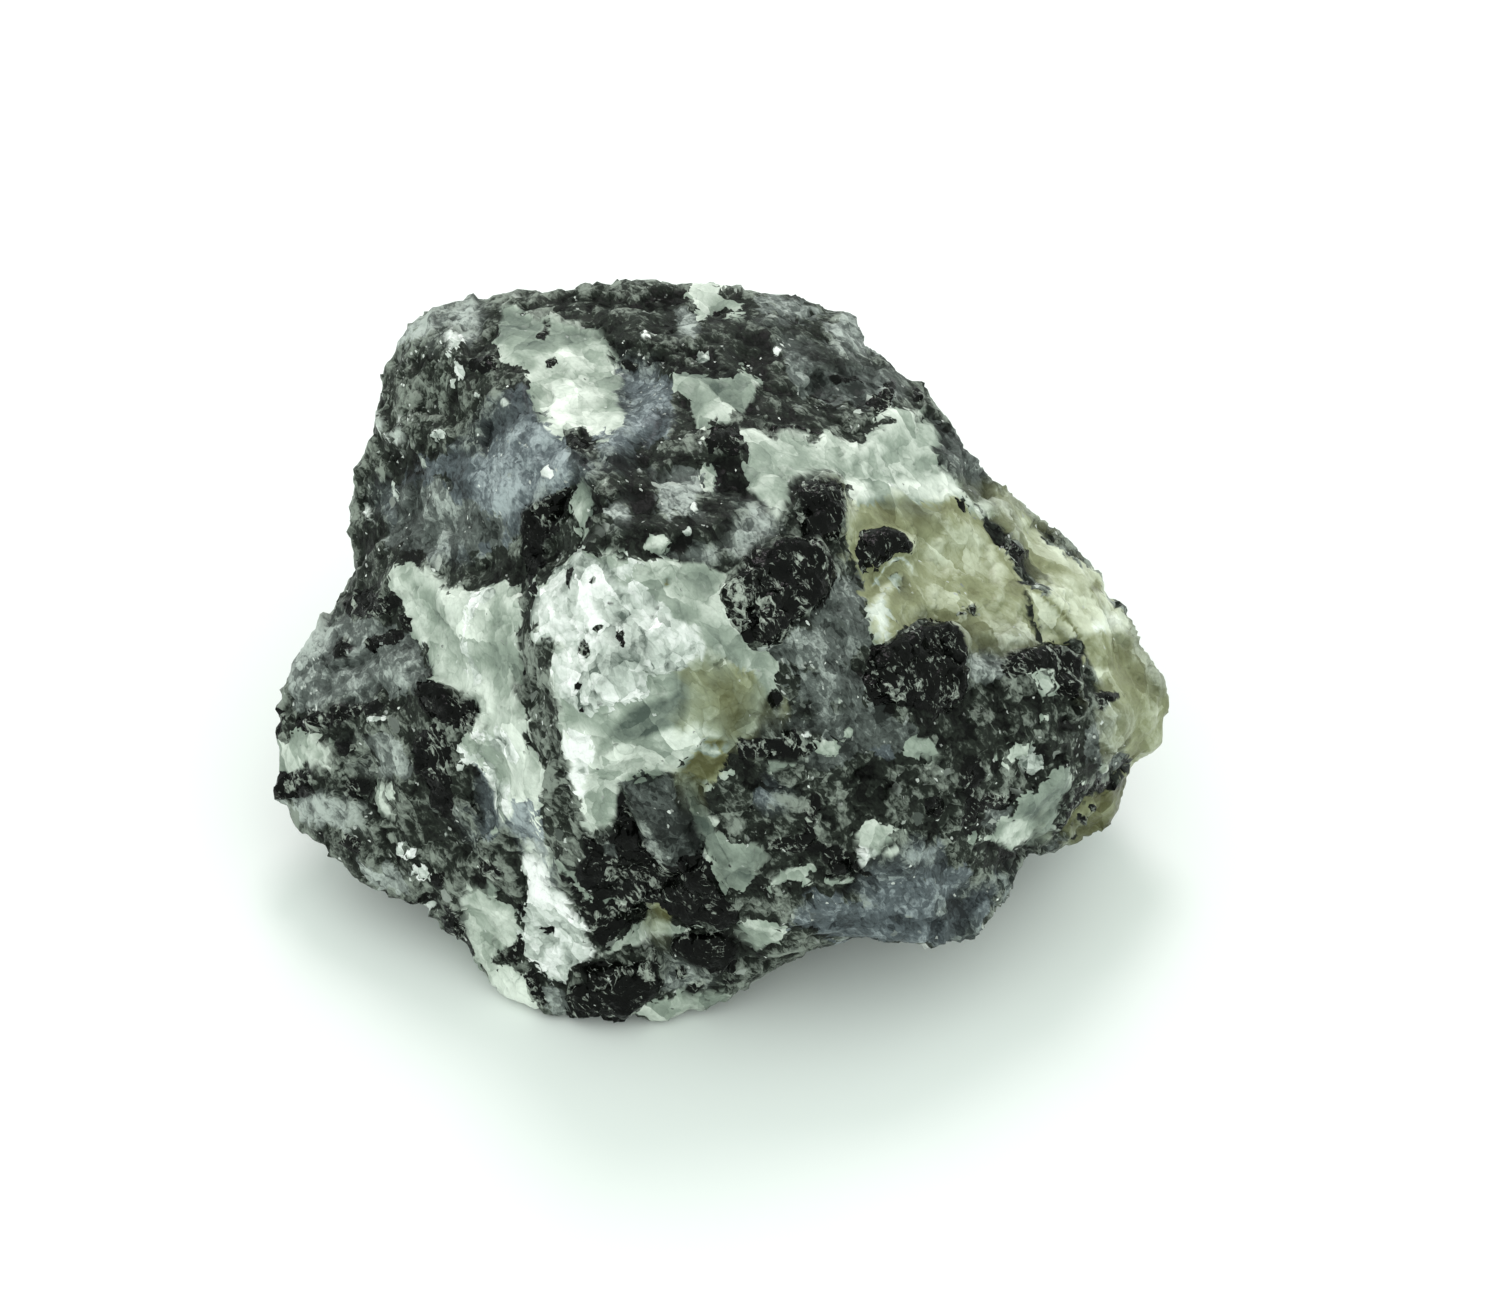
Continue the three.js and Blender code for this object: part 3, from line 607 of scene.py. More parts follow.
LEFT_RIDGE: Markings = (
    Patch(GROUND, 0.2, (
        (-20, 1), (-20.2, -3), (-21, -4.4), (-19.4, -8.6), (-18, -12.6), (-18.4, -16.6), (-16, -22.6),
        (-13.8, -23.6), (-14, -18.2), (-14.4, -16), (-16.2, -12.6), (-16, -9.8), (-16.8, -5.6),
        (-16.4, 1),
    )),
    Patch(PALE, 0.2, (
        (-32.9, 7.8), (-30.6, 8.8), (-27, 6), (-24.6, 5.6), (-21, 7.2), (-19.8, 5), (-20, 0), (-20.2, -4),
        (-19.4, -8.6), (-18, -12.6), (-18, -16), (-16.8, -22), (-18, -21), (-21, -17.6), (-22.4, -18),
        (-23, -13), (-26.4, -10.4), (-24.4, -8), (-24.2, -5), (-28.4, -3.2), (-29, -0.8), (-31, 3.2),
    )),
    Patch(PALE, 0.4, (
        (-32.9, 7.8), (-32.2, 8.6), (-30.6, 8.8), (-29.2, 8), (-28, 7), (-27.2, 5.8), (-26.6, 4.8),
        (-26, 5.2), (-25.2, 5), (-25.2, 3), (-25.6, 1.4), (-25.8, -0.5), (-25.2, -2), (-24.2, -3.4),
        (-24.2, -4.8), (-25, -4.6), (-26.4, -4), (-27.6, -3.6), (-28.6, -3.2), (-28.5, -2.2), (-29, -0.8),
        (-29.6, 0.4), (-30.4, 1.8), (-31.2, 3.6), (-32, 5.2), (-32.8, 6.6),
    )),
    Patch(PALE, -0.1, (
        (-30.4, 6.6), (-29, 6), (-27.4, 4.6), (-26.4, 3.6), (-26.8, 2.4), (-28.4, 2.6), (-30, 4.6),
    )),
    Patch(PALE, 0.45, (
        (-25.4, 3.6), (-24.6, 5.2), (-23, 6.2), (-21, 7), (-20.4, 6.4), (-21.4, 5.6), (-22.6, 4.4),
        (-23, 3), (-22.4, 1.6), (-21, 1.4), (-20.2, 0), (-20.4, -2), (-20.2, -3.6), (-21.2, -5),
        (-20.8, -6.4), (-19.4, -8.6), (-18.8, -10.6), (-18, -12.6), (-18, -15.6), (-18.6, -17.2),
        (-20, -18), (-21, -17), (-20.8, -14), (-21.6, -12.4), (-23, -10.8), (-24.2, -8.4), (-24, -6.4),
        (-24.2, -4.6), (-25, -1.4), (-25.8, 0.4),
    )),
    Patch(PALE, 0.0, (
        (-22.8, 4), (-21.4, 5), (-20.6, 3), (-20.4, -2), (-20.6, -6), (-21.8, -6), (-22.6, -1),
    )),
    Patch(WHITE, 0.3, (
        (-25.4, 3.6), (-24.8, 5), (-23.4, 6), (-22, 6), (-23.6, 4.6), (-24.8, 2.6), (-25.2, 0.6),
        (-24.4, -1.4), (-23.8, -2.6), (-24.2, -3), (-25, -1.4), (-25.8, 0.4), (-25.6, 2),
    )),
    Patch(WHITE, 0.0, (
        (-24, -7.6), (-22.8, -7.8), (-21, -9), (-20.2, -10), (-19.2, -11), (-20.4, -10.8), (-22, -9.8),
        (-23.2, -9), (-24.2, -8.6),
    )),
    Patch(WHITE, 0.1, (
        (-26.4, -9.6), (-25.4, -10), (-24, -10.6), (-22.4, -11.4), (-21.8, -12.6), (-21, -14),
        (-21, -15.8), (-21.6, -17), (-22.4, -16), (-22.4, -14.6), (-23, -13), (-24, -11.8), (-25.6, -11),
        (-26.6, -10.4),
    )),
    Patch(BLUE, -0.1, (
        (-25, -14), (-23.8, -12.6), (-23, -12.8), (-22.4, -14.4), (-22.2, -16.6), (-22.4, -18.4),
        (-23.4, -18.8), (-24.6, -18), (-25.2, -16.2),
    )),
    Patch(BLUE, 0.9, (
        (-20.6, -15), (-18.6, -15), (-18.4, -17), (-17.6, -19), (-16.8, -21.6), (-16.8, -22.6),
        (-17.4, -22), (-18.4, -20.4), (-19.6, -19), (-21, -17.6),
    )),
)

LEFT_LOBE: Markings = (
    Patch(GROUND, 0.0, (
        (-45, -4), (-38, -6), (-30, -5), (-26, -9), (-24, -16), (-24, -23), (-30, -26), (-38, -22),
        (-45, -16),
    )),
    Patch(GREY, 0.05, (
        (-42, 1), (-40, 3), (-38, 4), (-36.4, 3), (-34, 3.2), (-32.4, 2), (-31, 1.4), (-30, 0), (-29, -2),
        (-29.6, -3.4), (-32, -4), (-34, -5), (-36, -5.4), (-39, -5.6), (-42, -6), (-43.4, -4.6),
        (-43, -2),
    )),
    Patch(GREY, 0.7, (
        (-41.6, 1.4), (-39.6, 2.8), (-38.4, 3), (-38.6, 1), (-39.2, -0.4), (-41, -0.8), (-42, 0),
    )),
    Patch(GREY, 0.3, (
        (-36, -9), (-34, -8), (-32, -8.6), (-30.8, -10), (-30.4, -12), (-32, -12.6), (-34, -12.8),
        (-35, -11.4),
    )),
    Patch(GREY, 0.8, (
        (-43.8, -15.2), (-42, -14.6), (-40, -14.6), (-38, -15.2), (-36.4, -15.4), (-35.6, -16.6),
        (-36.4, -17.6), (-38, -18), (-39.4, -17.6), (-41, -17.6), (-42.8, -16.6),
    )),
    Patch(GREY, 0.3, (
        (-36.4, -21.4), (-34.6, -21.6), (-32, -22), (-31, -23), (-32, -24.2), (-34, -24), (-35.6, -22.8),
    )),
    Patch(PALE, 0.0, (
        (-45, -9), (-43, -8.6), (-42, -8.2), (-41, -8.2), (-39.6, -8.8), (-38.6, -9.8), (-38.6, -11.4),
        (-40, -11.6), (-41.4, -11.6), (-42.4, -12.4), (-44.8, -12.6),
    )),
    Patch(PALE, -0.2, (
        (-34.4, -13), (-33, -13.4), (-32.8, -15.4), (-33, -16.6), (-34, -16), (-34.6, -14.6),
    )),
    Seam(WHITE, -0.2, 0.35, ((-35.2, -7), (-33.4, -6.9))),
    *patches(
        BLACK, 0.1,
        ((-38.8, 0.2), (-37.6, 0.8), (-36.4, 0), (-37, -0.8), (-38.2, -0.8)),
        ((-35.2, 0.4), (-34.2, 1.2), (-32.4, 1.8), (-31.6, 1.6), (-32.4, 0.6), (-34, -0.2), (-35, -0.2)),
    ),
    Patch(BLACK, 0.0, ((-31.8, 3.8), (-30.9, 3), (-30.8, 2), (-31.8, 2.2))),
    *patches(
        BLACK, 0.1,
        ((-38, 4.8), (-36.8, 5.8), (-34.6, 6), (-33, 5.4), (-31.8, 4.4), (-32.6, 3.6), (-34.4, 3.4),
         (-36.4, 3.2), (-37.8, 4)),
        ((-42, -7), (-40, -6.2), (-38, -5.4), (-36, -5.6), (-34, -5), (-33.4, -4.2), (-34, -5.8),
         (-36, -6.6), (-38, -7.6), (-41, -8)),
    ),
    *patches(
        BLACK, 0.0,
        ((-29.8, -3.4), (-28.4, -3.6), (-26.6, -4.4), (-25.4, -5), (-24.4, -5.8), (-24.2, -7.6),
         (-26, -8), (-28, -7.4), (-29.8, -5.6)),
        ((-45, -5.4), (-43.6, -5.6), (-43.2, -7), (-43.6, -8.8), (-45, -8)),
        ((-43.8, -3.8), (-43, -3.4), (-42.8, -4), (-43.6, -4.6)),
    ),
    Patch(BLACK, 0.1, (
        (-43.8, -12.4), (-42.4, -12.2), (-40.6, -11.8), (-40.2, -12.8), (-40.8, -14), (-42, -14.4),
        (-43.4, -14.6), (-44, -14),
    )),
    *patches(
        BLACK, 0.0,
        ((-38, -9.4), (-36.8, -9), (-35.4, -9.6), (-35.4, -10.4), (-37, -10.6), (-38, -10.2)),
        ((-37, -13.2), (-35.4, -13), (-34.4, -13), (-34.6, -14.4), (-36, -15), (-37.2, -14.4)),
        ((-39, -18.8), (-37.4, -18.4), (-35.4, -19), (-35.2, -19.8), (-36.6, -20), (-38, -19.6)),
    ),
    Patch(BLACK, -0.25, (
        (-30.2, -8.6), (-28.6, -7.4), (-27, -7.8), (-26.6, -9), (-26.8, -11), (-26.4, -13), (-26.8, -15),
        (-27.4, -16.6), (-29, -16), (-29, -14), (-30, -12), (-31, -10.2),
    )),
    *patches(
        BLACK, 0.0,
        ((-28.8, -22.2), (-27.6, -22.4), (-27.4, -23.4), (-28, -23.8), (-28.8, -23.2)),
        ((-31.6, -24.6), (-30.6, -24.6), (-30, -25), (-31, -25.3)),
        ((-24, -21.4), (-23, -21), (-22.2, -21.8), (-21.8, -23), (-22.4, -23.2), (-24, -22.2)),
    ),
    *patches(
        WHITE, 0.0,
        ((-32.4, -19.4), (-31.8, -19.4), (-31.6, -20.6), (-32.4, -20.6)),
        ((-31.2, -20), (-30.6, -20), (-30.5, -20.7), (-31.4, -20.8)),
        ((-30.4, -21.4), (-29.6, -21.6), (-29, -22.2), (-29.4, -22.9), (-30.2, -22.6)),
    ),
    Specks(WHITE, 0.0, 0.4, ((-29, -25.6), (-26.5, -20), (-27.2, -18.5), (-25.8, -11.7))),
)

FOOT: Markings = (
    Patch(PALE, 0.25, (
        (-25.8, -24.8), (-24.6, -23.6), (-23.6, -24), (-23.2, -25), (-22, -25.6), (-20.6, -26.2),
        (-20, -27.4), (-20.2, -28.6), (-20.4, -29.4), (-21.6, -30), (-22.4, -31), (-22.4, -33.8),
        (-23.6, -32.2), (-24.4, -30.4), (-25, -28.4), (-25.6, -26.6),
    )),
    Patch(PALE, 0.7, (
        (-22.4, -31), (-20.4, -31.2), (-19.4, -32.4), (-18.6, -33.6), (-18, -35.2), (-18.6, -36.7),
        (-20.4, -35.8), (-23, -34.4),
    )),
    Patch(PALE, -0.2, ((-23.4, -23.2), (-22.2, -24), (-22, -24.8), (-22.8, -24.8), (-23.4, -24))),
    Patch(WHITE, 0.25, (
        (-19.6, -20.9), (-18.6, -20.8), (-17.8, -21.8), (-17.2, -22.8), (-16.6, -23.4), (-15.6, -24.2),
        (-14.8, -25.4), (-14, -26.8), (-13, -28.4), (-12.6, -29.8), (-13, -30.6), (-14, -31.6),
        (-14.8, -32.6), (-16, -33.4), (-17.4, -33), (-18.2, -31.8), (-19.2, -30.8), (-19.8, -29.4),
        (-19.8, -28), (-19.4, -26.6), (-19.2, -25), (-18.8, -23.6), (-19.2, -22.2),
    )),
    Patch(WHITE, 0.0, (
        (-13.6, -27.4), (-12.6, -29.8), (-13, -30.6), (-14, -31.6), (-14.8, -32.6), (-16, -33.4),
        (-16, -31.4), (-14.4, -30),
    )),
    Patch(GREY, 0.5, (
        (-17.6, -33.6), (-16, -33.6), (-15.4, -34.6), (-14.8, -36), (-15.4, -36.6), (-16.8, -36),
        (-17.4, -35.2),
    )),
    Patch(PALE, 0.2, (
        (-12, -30.4), (-10.6, -29), (-9, -28), (-8, -27.2), (-7.2, -26.6), (-6.8, -27), (-7, -28.6),
        (-7.2, -29.4), (-8.6, -29.8), (-10, -30.2), (-11.4, -30.6),
    )),
    Patch(PALE, -0.1, (
        (-6.8, -27.2), (-5.6, -27), (-4.4, -27.4), (-3, -27.6), (-1.6, -27.8), (-3.4, -28.2),
        (-4.6, -28.8), (-6, -28.4),
    )),
    Patch(GREY, 0.3, (
        (-5.4, -31.6), (-4.4, -30.8), (-3, -31.4), (-2, -32.4), (-0.6, -32.6), (-1.4, -33.4),
        (-3.4, -33.4), (-4.6, -34), (-6, -34),
    )),
    Patch(PALE, -0.1, (
        (-8.6, -36.4), (-7.6, -35.2), (-6, -34.6), (-4, -34.6), (-2.6, -34.8), (-1, -34), (0.4, -33.4),
        (1.4, -33), (1.2, -34.4), (0.2, -35.4), (-1.6, -36.6), (-4, -37.4), (-6, -38),
    )),
    Patch(OLIVE, -0.9, ((-6.8, -25.6), (-5.2, -25), (-4.4, -26), (-5, -27), (-6.4, -26.6))),
    Patch(PALE, 0.1, ((1.5, -27.1), (6.9, -27.5), (6.3, -29.6), (3.8, -29.8))),
    Patch(BLACK, 0.0, (
        (-14, -18.2), (-13, -18.7), (-12, -18.2), (-11, -18.2), (-10.2, -17), (-9.8, -18.6),
        (-6.4, -20.6), (-4.6, -21.2), (-2.2, -20.2), (-1.2, -20), (-0.4, -22.4), (0.6, -24), (1.6, -25),
        (1.9, -26.2), (1.6, -27.2), (0.4, -27.7), (-1.6, -27.6), (-3.4, -27), (-4.6, -26.2), (-5, -25.2),
        (-6.6, -25.2), (-7.6, -25.8), (-7.8, -26.6), (-9, -27.4), (-10, -28), (-11, -29), (-12.2, -29.8),
        (-12.4, -28.4), (-13.4, -26.6), (-14.2, -25), (-15.2, -23.4), (-15.6, -22.4), (-14.2, -22),
        (-14, -20.2),
    )),
    Patch(BLACK, 0.1, (
        (-14, -31.6), (-12.6, -31.2), (-10, -31), (-8, -30.6), (-6.8, -29.6), (-6, -30.4), (-5.4, -31.6),
        (-6, -33), (-6.4, -34.4), (-8, -35.6), (-9.4, -36.6), (-11, -37.5), (-13.4, -37.4), (-14.6, -37),
        (-15.4, -35), (-14.6, -34), (-13.4, -33.2), (-13.6, -32.4),
    )),
    Patch(BLACK, -0.3, (
        (-5, -29.4), (-4, -28.6), (-2.6, -28.1), (-1, -28), (0.4, -28.2), (1.6, -29), (2, -30),
        (1.4, -31.4), (0.4, -32), (-1, -32.2), (-2.4, -31.6), (-3.6, -30.6), (-4.6, -30.4),
    )),
    *patches(
        BLACK, 0.0,
        ((-0.2, -32.8), (1.4, -32.4), (1.6, -33), (0.4, -33.3)),
        ((-4.6, -32), (-3.4, -31.8), (-3.2, -32.6), (-4.2, -32.8)),
        ((-3, -33.6), (-1.6, -32.8), (-1.4, -33.6), (-2.4, -34.4), (-3.2, -34.2)),
        ((-27.4, -25), (-26.2, -25), (-25.8, -26.6), (-25.4, -28.4), (-24.9, -30.4), (-25.4, -30.4),
         (-26, -29), (-27, -28.4), (-27.4, -26.6)),
        ((-22.4, -30.9), (-21.4, -29.9), (-20.4, -29.4), (-20.2, -28.8), (-19.7, -29.2), (-19.7, -31),
         (-19.9, -32.2), (-20.4, -31.4), (-21.6, -31)),
        ((-19, -31.4), (-18.4, -32), (-18, -33.6), (-17.4, -34.8), (-17.5, -35.6), (-18, -35.6),
         (-18.6, -34), (-19.1, -32.6)),
    ),
    *patches(
        BLACK, 0.1,
        ((-20, -25.2), (-19.6, -25), (-19.2, -26.4), (-19.6, -26.6)),
        ((-18.2, -27.9), (-17.2, -28), (-16.6, -27.1), (-16.2, -27.2), (-16.4, -28), (-17, -28.6),
         (-17.8, -28.4)),
    ),
)

PRISMS: Markings = (
    Patch(PALE, -0.55, (
        (-4.4, -13), (-3.4, -12.8), (-2, -14), (-1.6, -15.6), (-1, -17), (0, -18), (1.4, -18.6),
        (3, -18.8), (4.2, -19.2), (4.6, -20.4), (4, -21.6), (3.4, -23), (2.4, -24.4), (0.8, -23.8),
        (0, -22.4), (-0.6, -21.2), (-1.2, -19.6), (-2.2, -17.6), (-3.4, -15.2),
    )),
    # Painted light: the lit top face of a black prism, painted as dark grey; its left side, the next patch,
    # keeps the black.
    Patch(GREY, -0.9, (
        (-9.6, -12.8), (-8.4, -12.5), (-6.8, -12.2), (-5.2, -12.6), (-4.6, -13.2), (-3.6, -15.4),
        (-2.4, -18), (-1.4, -20), (-2.2, -20.2), (-3.6, -20.8), (-4.6, -21.2), (-5.4, -20), (-6.4, -18.8),
        (-8, -17), (-9, -15), (-9.8, -14),
    )),
    Patch(BLACK, -0.1, (
        (-9.8, -14.2), (-9, -15.2), (-8, -17.2), (-7.2, -19), (-6.4, -20.2), (-7.4, -21.2), (-9, -21.6),
        (-10, -20.6), (-9.6, -18.6), (-10.4, -17.4), (-10.2, -15.4),
    )),
    Patch(GREY, 0.1, (
        (-8, -17), (-7.4, -17), (-6.4, -19), (-6.1, -20.2), (-6.5, -20.4), (-7.2, -18.8),
    )),
    Patch(GREY, -0.2, ((-11.4, -19.2), (-10.4, -19.4), (-10.2, -20.4), (-11.2, -20.6))),
    Seam(PALE, 0.0, 0.5, ((-1.2, -20), (-0.2, -22.2), (0.8, -24))),
    Seam(PALE, -0.2, 0.4, ((-15.8, -21), (-14.4, -23), (-12.8, -24.8))),
    Seam(PALE, -0.2, 0.4, ((-11.6, -25), (-10.4, -24.5), (-9.2, -24.7))),
)

DARK_CRYSTALS: Markings = (
    Patch(BLACK, 0.1, (
        (0.4, 5.4), (4.2, 10.4), (6.4, 11), (9.8, 11.5), (11.3, 9.2), (11.4, 6.8), (10, 4.6), (7, 2.6),
        (6, 0.8), (4.4, 0.1), (2.6, 0.9), (1.6, 2.6),
    )),
    Patch(BLACK, 0.0, (
        (7.6, 12), (7.4, 13.2), (8, 14.4), (7.8, 15.6), (8, 16.6), (9, 17.2), (10.4, 17.2), (11.8, 17),
        (12.3, 16), (12.3, 14), (12.2, 12), (11.8, 10.8), (10, 10.8), (8.6, 11),
    )),
    Patch(BLACK, 0.3, ((8.2, 12.2), (8.4, 13.8), (9.4, 14), (9.6, 12.2))),
    Patch(BLACK, 0.05, (
        (13.7, 8.4), (13.6, 10), (14.1, 11.6), (14.8, 12.2), (16.2, 12.3), (17.4, 11.9), (18.6, 11.4),
        (19.2, 10.8), (19, 9.8), (17.4, 9.8), (16.6, 9.2), (15.6, 8.2), (14.2, 7.7),
    )),
    Patch(BLACK, 0.1, (
        (16.9, 0.4), (18, 1.2), (20.6, 2.6), (22.4, 2.8), (23.8, 2.2), (24.6, 0.6), (24.7, -2),
        (24.4, -5), (25, -7.6), (23.6, -8), (21.4, -7.4), (20.2, -6), (17, -5.4), (15, -5), (14.4, -3),
        (15, -1), (15.8, 0.2),
    )),
    Patch(BLACK, 0.0, (
        (28.3, -1), (29.6, -0.6), (31, 0.1), (32.6, 0.5), (33.8, 0.5), (35.2, 0), (36, -1), (36.3, -2.6),
        (36, -4.2), (35.6, -5.4), (34.6, -6.4), (33.4, -6.2), (33, -5), (33.6, -3.8), (33, -2.4),
        (31.6, -2), (30.6, -2.6), (28.8, -2.6),
    )),
)

RIGHT_LOBE: Markings = (
    Patch(GROUND, -0.2, (
        (23, -6), (26, -2), (30, -4), (36, -5), (39, -8), (36, -14), (31, -21), (24, -22), (8, -22),
        (10, -15),
    )),
    Patch(GREY, -0.1, (
        (4.6, 0), (7, 1.4), (8.6, 2.6), (10, 4.4), (11, 6.4), (12.4, 8), (13.6, 7.6), (14.4, 6),
        (14.6, 5), (14.2, 4), (14.6, 2.6), (14.8, 1), (14, 0), (13, -1.4), (10, -2), (7, -1.4),
    )),
    *patches(
        GREY, -0.35,
        ((7, -1.4), (10, -2), (13, -1.4), (14.6, -2.4), (14.4, -5), (11, -6), (7.4, -5.6)),
        ((3.6, -6.8), (6, -6.6), (8, -7), (10, -6), (13, -5.4), (16, -5.6), (18, -6.4), (20, -7.6),
         (20, -9), (17, -10), (14, -10.6), (12, -11.6), (10, -12), (8.6, -11), (9.6, -9.6), (12, -9),
         (10, -8.2), (7, -8), (4, -8.4)),
    ),
    Patch(BLUE, -0.2, (
        (15, -22), (16.4, -21.8), (18, -21.4), (21, -21.2), (23, -21.6), (24.6, -22.4), (24.6, -24.4),
        (22, -26.4), (18, -26.6), (15, -25.6),
    )),
    Patch(BLUE, -0.4, (
        (15, -25.6), (18, -26.6), (22, -26.4), (24.6, -24.4), (28, -23), (27, -26.6), (22, -29.6),
        (12, -29), (7, -28), (8, -25.4), (11, -24.4),
    )),
    Patch(BLUE, 0.8, (
        (18.4, -20.4), (20, -19.8), (21.6, -19.6), (22.2, -20.6), (21, -21.2), (19, -21.2),
    )),
    *patches(
        BLUE, 0.3,
        ((15, -9.8), (16.6, -9.6), (17, -10.6), (16, -11.2), (15.2, -10.6)),
        ((3.2, -14.2), (4.6, -14), (5.4, -14.6), (4.6, -15.4), (3.6, -15)),
    ),
    Patch(GREY, -0.2, (
        (37.2, -7.6), (38.6, -6.4), (39.4, -7.2), (38.6, -8.6), (38.4, -9.8), (40.4, -10.4),
        (40.6, -11.4), (39.4, -12.4), (38, -12.6), (37.8, -11.4), (36.6, -10.2), (37, -8.8),
    )),
    *patches(
        GREY, 0.2,
        ((24.8, -0.6), (25.8, 0.2), (26.8, -0.2), (28, -1), (28, -2.4), (26.4, -3.2), (25.2, -4),
         (24.8, -2.4)),
        ((26.2, -18), (27, -16), (28.6, -15.8), (29.6, -15.6), (28.4, -17.2), (28, -18.4)),
    ),
    Patch(GREY, -0.3, ((32.2, -19.2), (33.4, -18.8), (34.8, -19), (33.6, -19.9), (32.6, -20.2))),
    Patch(GREY, -0.2, ((30.8, -20.8), (32, -20.2), (31.6, -21.2), (30.6, -21.6))),
    Patch(PALE, -0.1, (
        (3.4, -11.2), (5.2, -11.2), (7.8, -11.4), (7, -12), (5, -12.2), (4.8, -11.6),
    )),
    Patch(PALE, -0.2, (
        (8.6, -9.2), (10, -9.4), (11.4, -9.2), (12.6, -9.4), (12, -10.2), (10.4, -10.4), (9.6, -9.8),
    )),
    Patch(PALE, -0.3, (
        (18.6, -9.6), (19.4, -8.4), (20.6, -8.4), (21.2, -8.6), (21.8, -10), (21.4, -11.2), (20.6, -11.6),
        (19.6, -10.8), (18.8, -10.4),
    )),
    Patch(PALE, -0.1, (
        (13, -18.4), (13.6, -17.4), (14.6, -16.8), (16, -16.6), (17.4, -17.2), (18, -18), (17.2, -19.2),
        (16, -19.8), (14.6, -19.6), (13.6, -19.2),
    )),
    *patches(
        PALE, 0.2,
        ((16.2, -20), (18, -19.4), (18.2, -20), (17, -20.6)),
        ((4.6, -23.4), (6.4, -21.8), (8, -21), (9.8, -20.8), (9.9, -22.2), (8.6, -22.8), (6.8, -23.4),
         (5, -24.2)),
    ),
    Patch(PALE, 0.1, ((10.4, -22.8), (12, -22.6), (13.6, -23), (13.2, -23.4), (11.4, -23.4))),
    Patch(PALE, 0.4, (
        (28.1, -10.4), (28.6, -9.4), (29.8, -9), (30.8, -9.1), (30.6, -9.9), (29.8, -11), (29.2, -12.4),
        (28.6, -12.4), (28.1, -11),
    )),
    Patch(PALE, 0.0, (
        (31.2, -2.4), (31.8, -2), (32.8, -2.6), (33.6, -3.4), (33.8, -3.8), (33, -4.4), (32.8, -5.6),
        (32.2, -5.4), (32.2, -4.2), (31.6, -3.2),
    )),
    Patch(PALE, -0.55, (
        (28, -19), (28.4, -17.4), (29.2, -16.6), (29.8, -15.4), (30.8, -14.4), (32.4, -13.4),
        (33.4, -12.8), (34.4, -11.4), (34.8, -12), (34.7, -13.6), (34.4, -15), (34, -16.8), (33.4, -17.8),
        (32.4, -18.6), (31.2, -19.4), (29.6, -20.1), (28.8, -20),
    )),
    Patch(PALE, 0.6, (
        (28.1, -19), (28.6, -17.4), (30, -16.6), (31.4, -17.2), (31.2, -18.8), (29.8, -20), (28.8, -19.9),
    )),
    Patch(PALE, 0.2, (
        (25.2, -19), (26.2, -18.2), (27.6, -18.6), (28, -19), (27.6, -19.4), (26, -19.3),
    )),
    Patch(PALE, 0.0, ((35.4, -13.6), (36.6, -12.8), (37.2, -12.8), (36.4, -13.4), (35.6, -14))),
    Specks(PALE, 0.1, 0.4, ((12.9, -8.3), (11.9, -5.1), (32.7, -6.8), (38.4, -11.8))),
    Patch(OLIVE, -0.7, (
        (34.2, -17.4), (35.4, -15.6), (36.6, -14.2), (38, -13.9), (39.2, -13.6), (40.4, -12.2),
        (41.2, -11.6), (41.6, -13.6), (40.8, -15.2), (40, -17), (38.6, -18.6), (36.4, -20.2), (34.8, -19),
        (35.8, -18), (35, -17.6),
    )),
    Seam(OLIVE, 0.3, 0.5, ((6.6, -4.6), (6.7, -5.4), (6.5, -6.3))),
    *patches(
        WHITE, 0.0,
        ((8.2, -8.2), (9, -8), (9.6, -8.4), (8.8, -9), (8.4, -8.9)),
        ((13.6, -19.8), (14.6, -19.8), (15.6, -20.2), (14.6, -20.6), (14.2, -21)),
    ),
    Patch(WHITE, -0.3, (
        (30.4, -11), (31, -10.2), (31.6, -10.4), (32.2, -11.4), (31.6, -12.2), (30.8, -11.8),
    )),
    Patch(BLACK, 0.0, ((5, -4), (6.2, -4), (6.5, -5), (6.3, -6.2), (5.4, -5.8), (4.8, -5))),
    Patch(BLACK, 0.3, (
        (2, -9), (4, -8.8), (6, -8.6), (7.6, -7.6), (8.4, -9), (9.6, -9.6), (9, -10.4), (8, -11),
        (6, -10.8), (4, -10.8), (2, -10.6),
    )),
    *patches(
        BLACK, 0.1,
        ((9.8, -15), (10, -17), (9.6, -19), (12, -19.4), (13, -20), (13.8, -21.4), (15, -22.4),
         (13.6, -22.8), (11, -22.4), (10, -21.4), (9.8, -20.6), (8, -20.4), (6, -20.4), (4.6, -20),
         (4.6, -18.8), (7, -18.6), (8.8, -18), (8.6, -16)),
        ((21, -15), (22.2, -14.6), (22.6, -16), (21.8, -17), (20.8, -16)),
        ((24, -11), (26, -10.6), (26.6, -12.4), (25.6, -14), (26.4, -16), (26, -17.6), (24.4, -17.6),
         (24.6, -15), (23.6, -13)),
        ((26.6, -14.6), (28, -14.2), (29.4, -14.4), (29, -15.6), (27.4, -15.6)),
    ),
    *patches(
        BLACK, 0.0,
        ((34.8, -14.2), (36, -13.2), (37.4, -13), (39.2, -12.6), (39.4, -13.4), (38.6, -13.8),
         (37, -13.7), (36, -14.6), (35, -15.8), (34.2, -17.4), (33.4, -18.4), (33, -18.2), (34, -16.6),
         (34.6, -15)),
        ((28, -19.8), (29.6, -20.4), (30.4, -20.6), (29.4, -21.2), (28, -20.8)),
        ((37.2, -4.2), (38.2, -4.2), (39.8, -4.6), (39, -5.4), (38, -6), (37.2, -5.6)),
    ),
    Specks(BLACK, 0.0, 0.35, ((35.9, -16.4), (36.7, -15.4), (35.3, -18.5))),
)

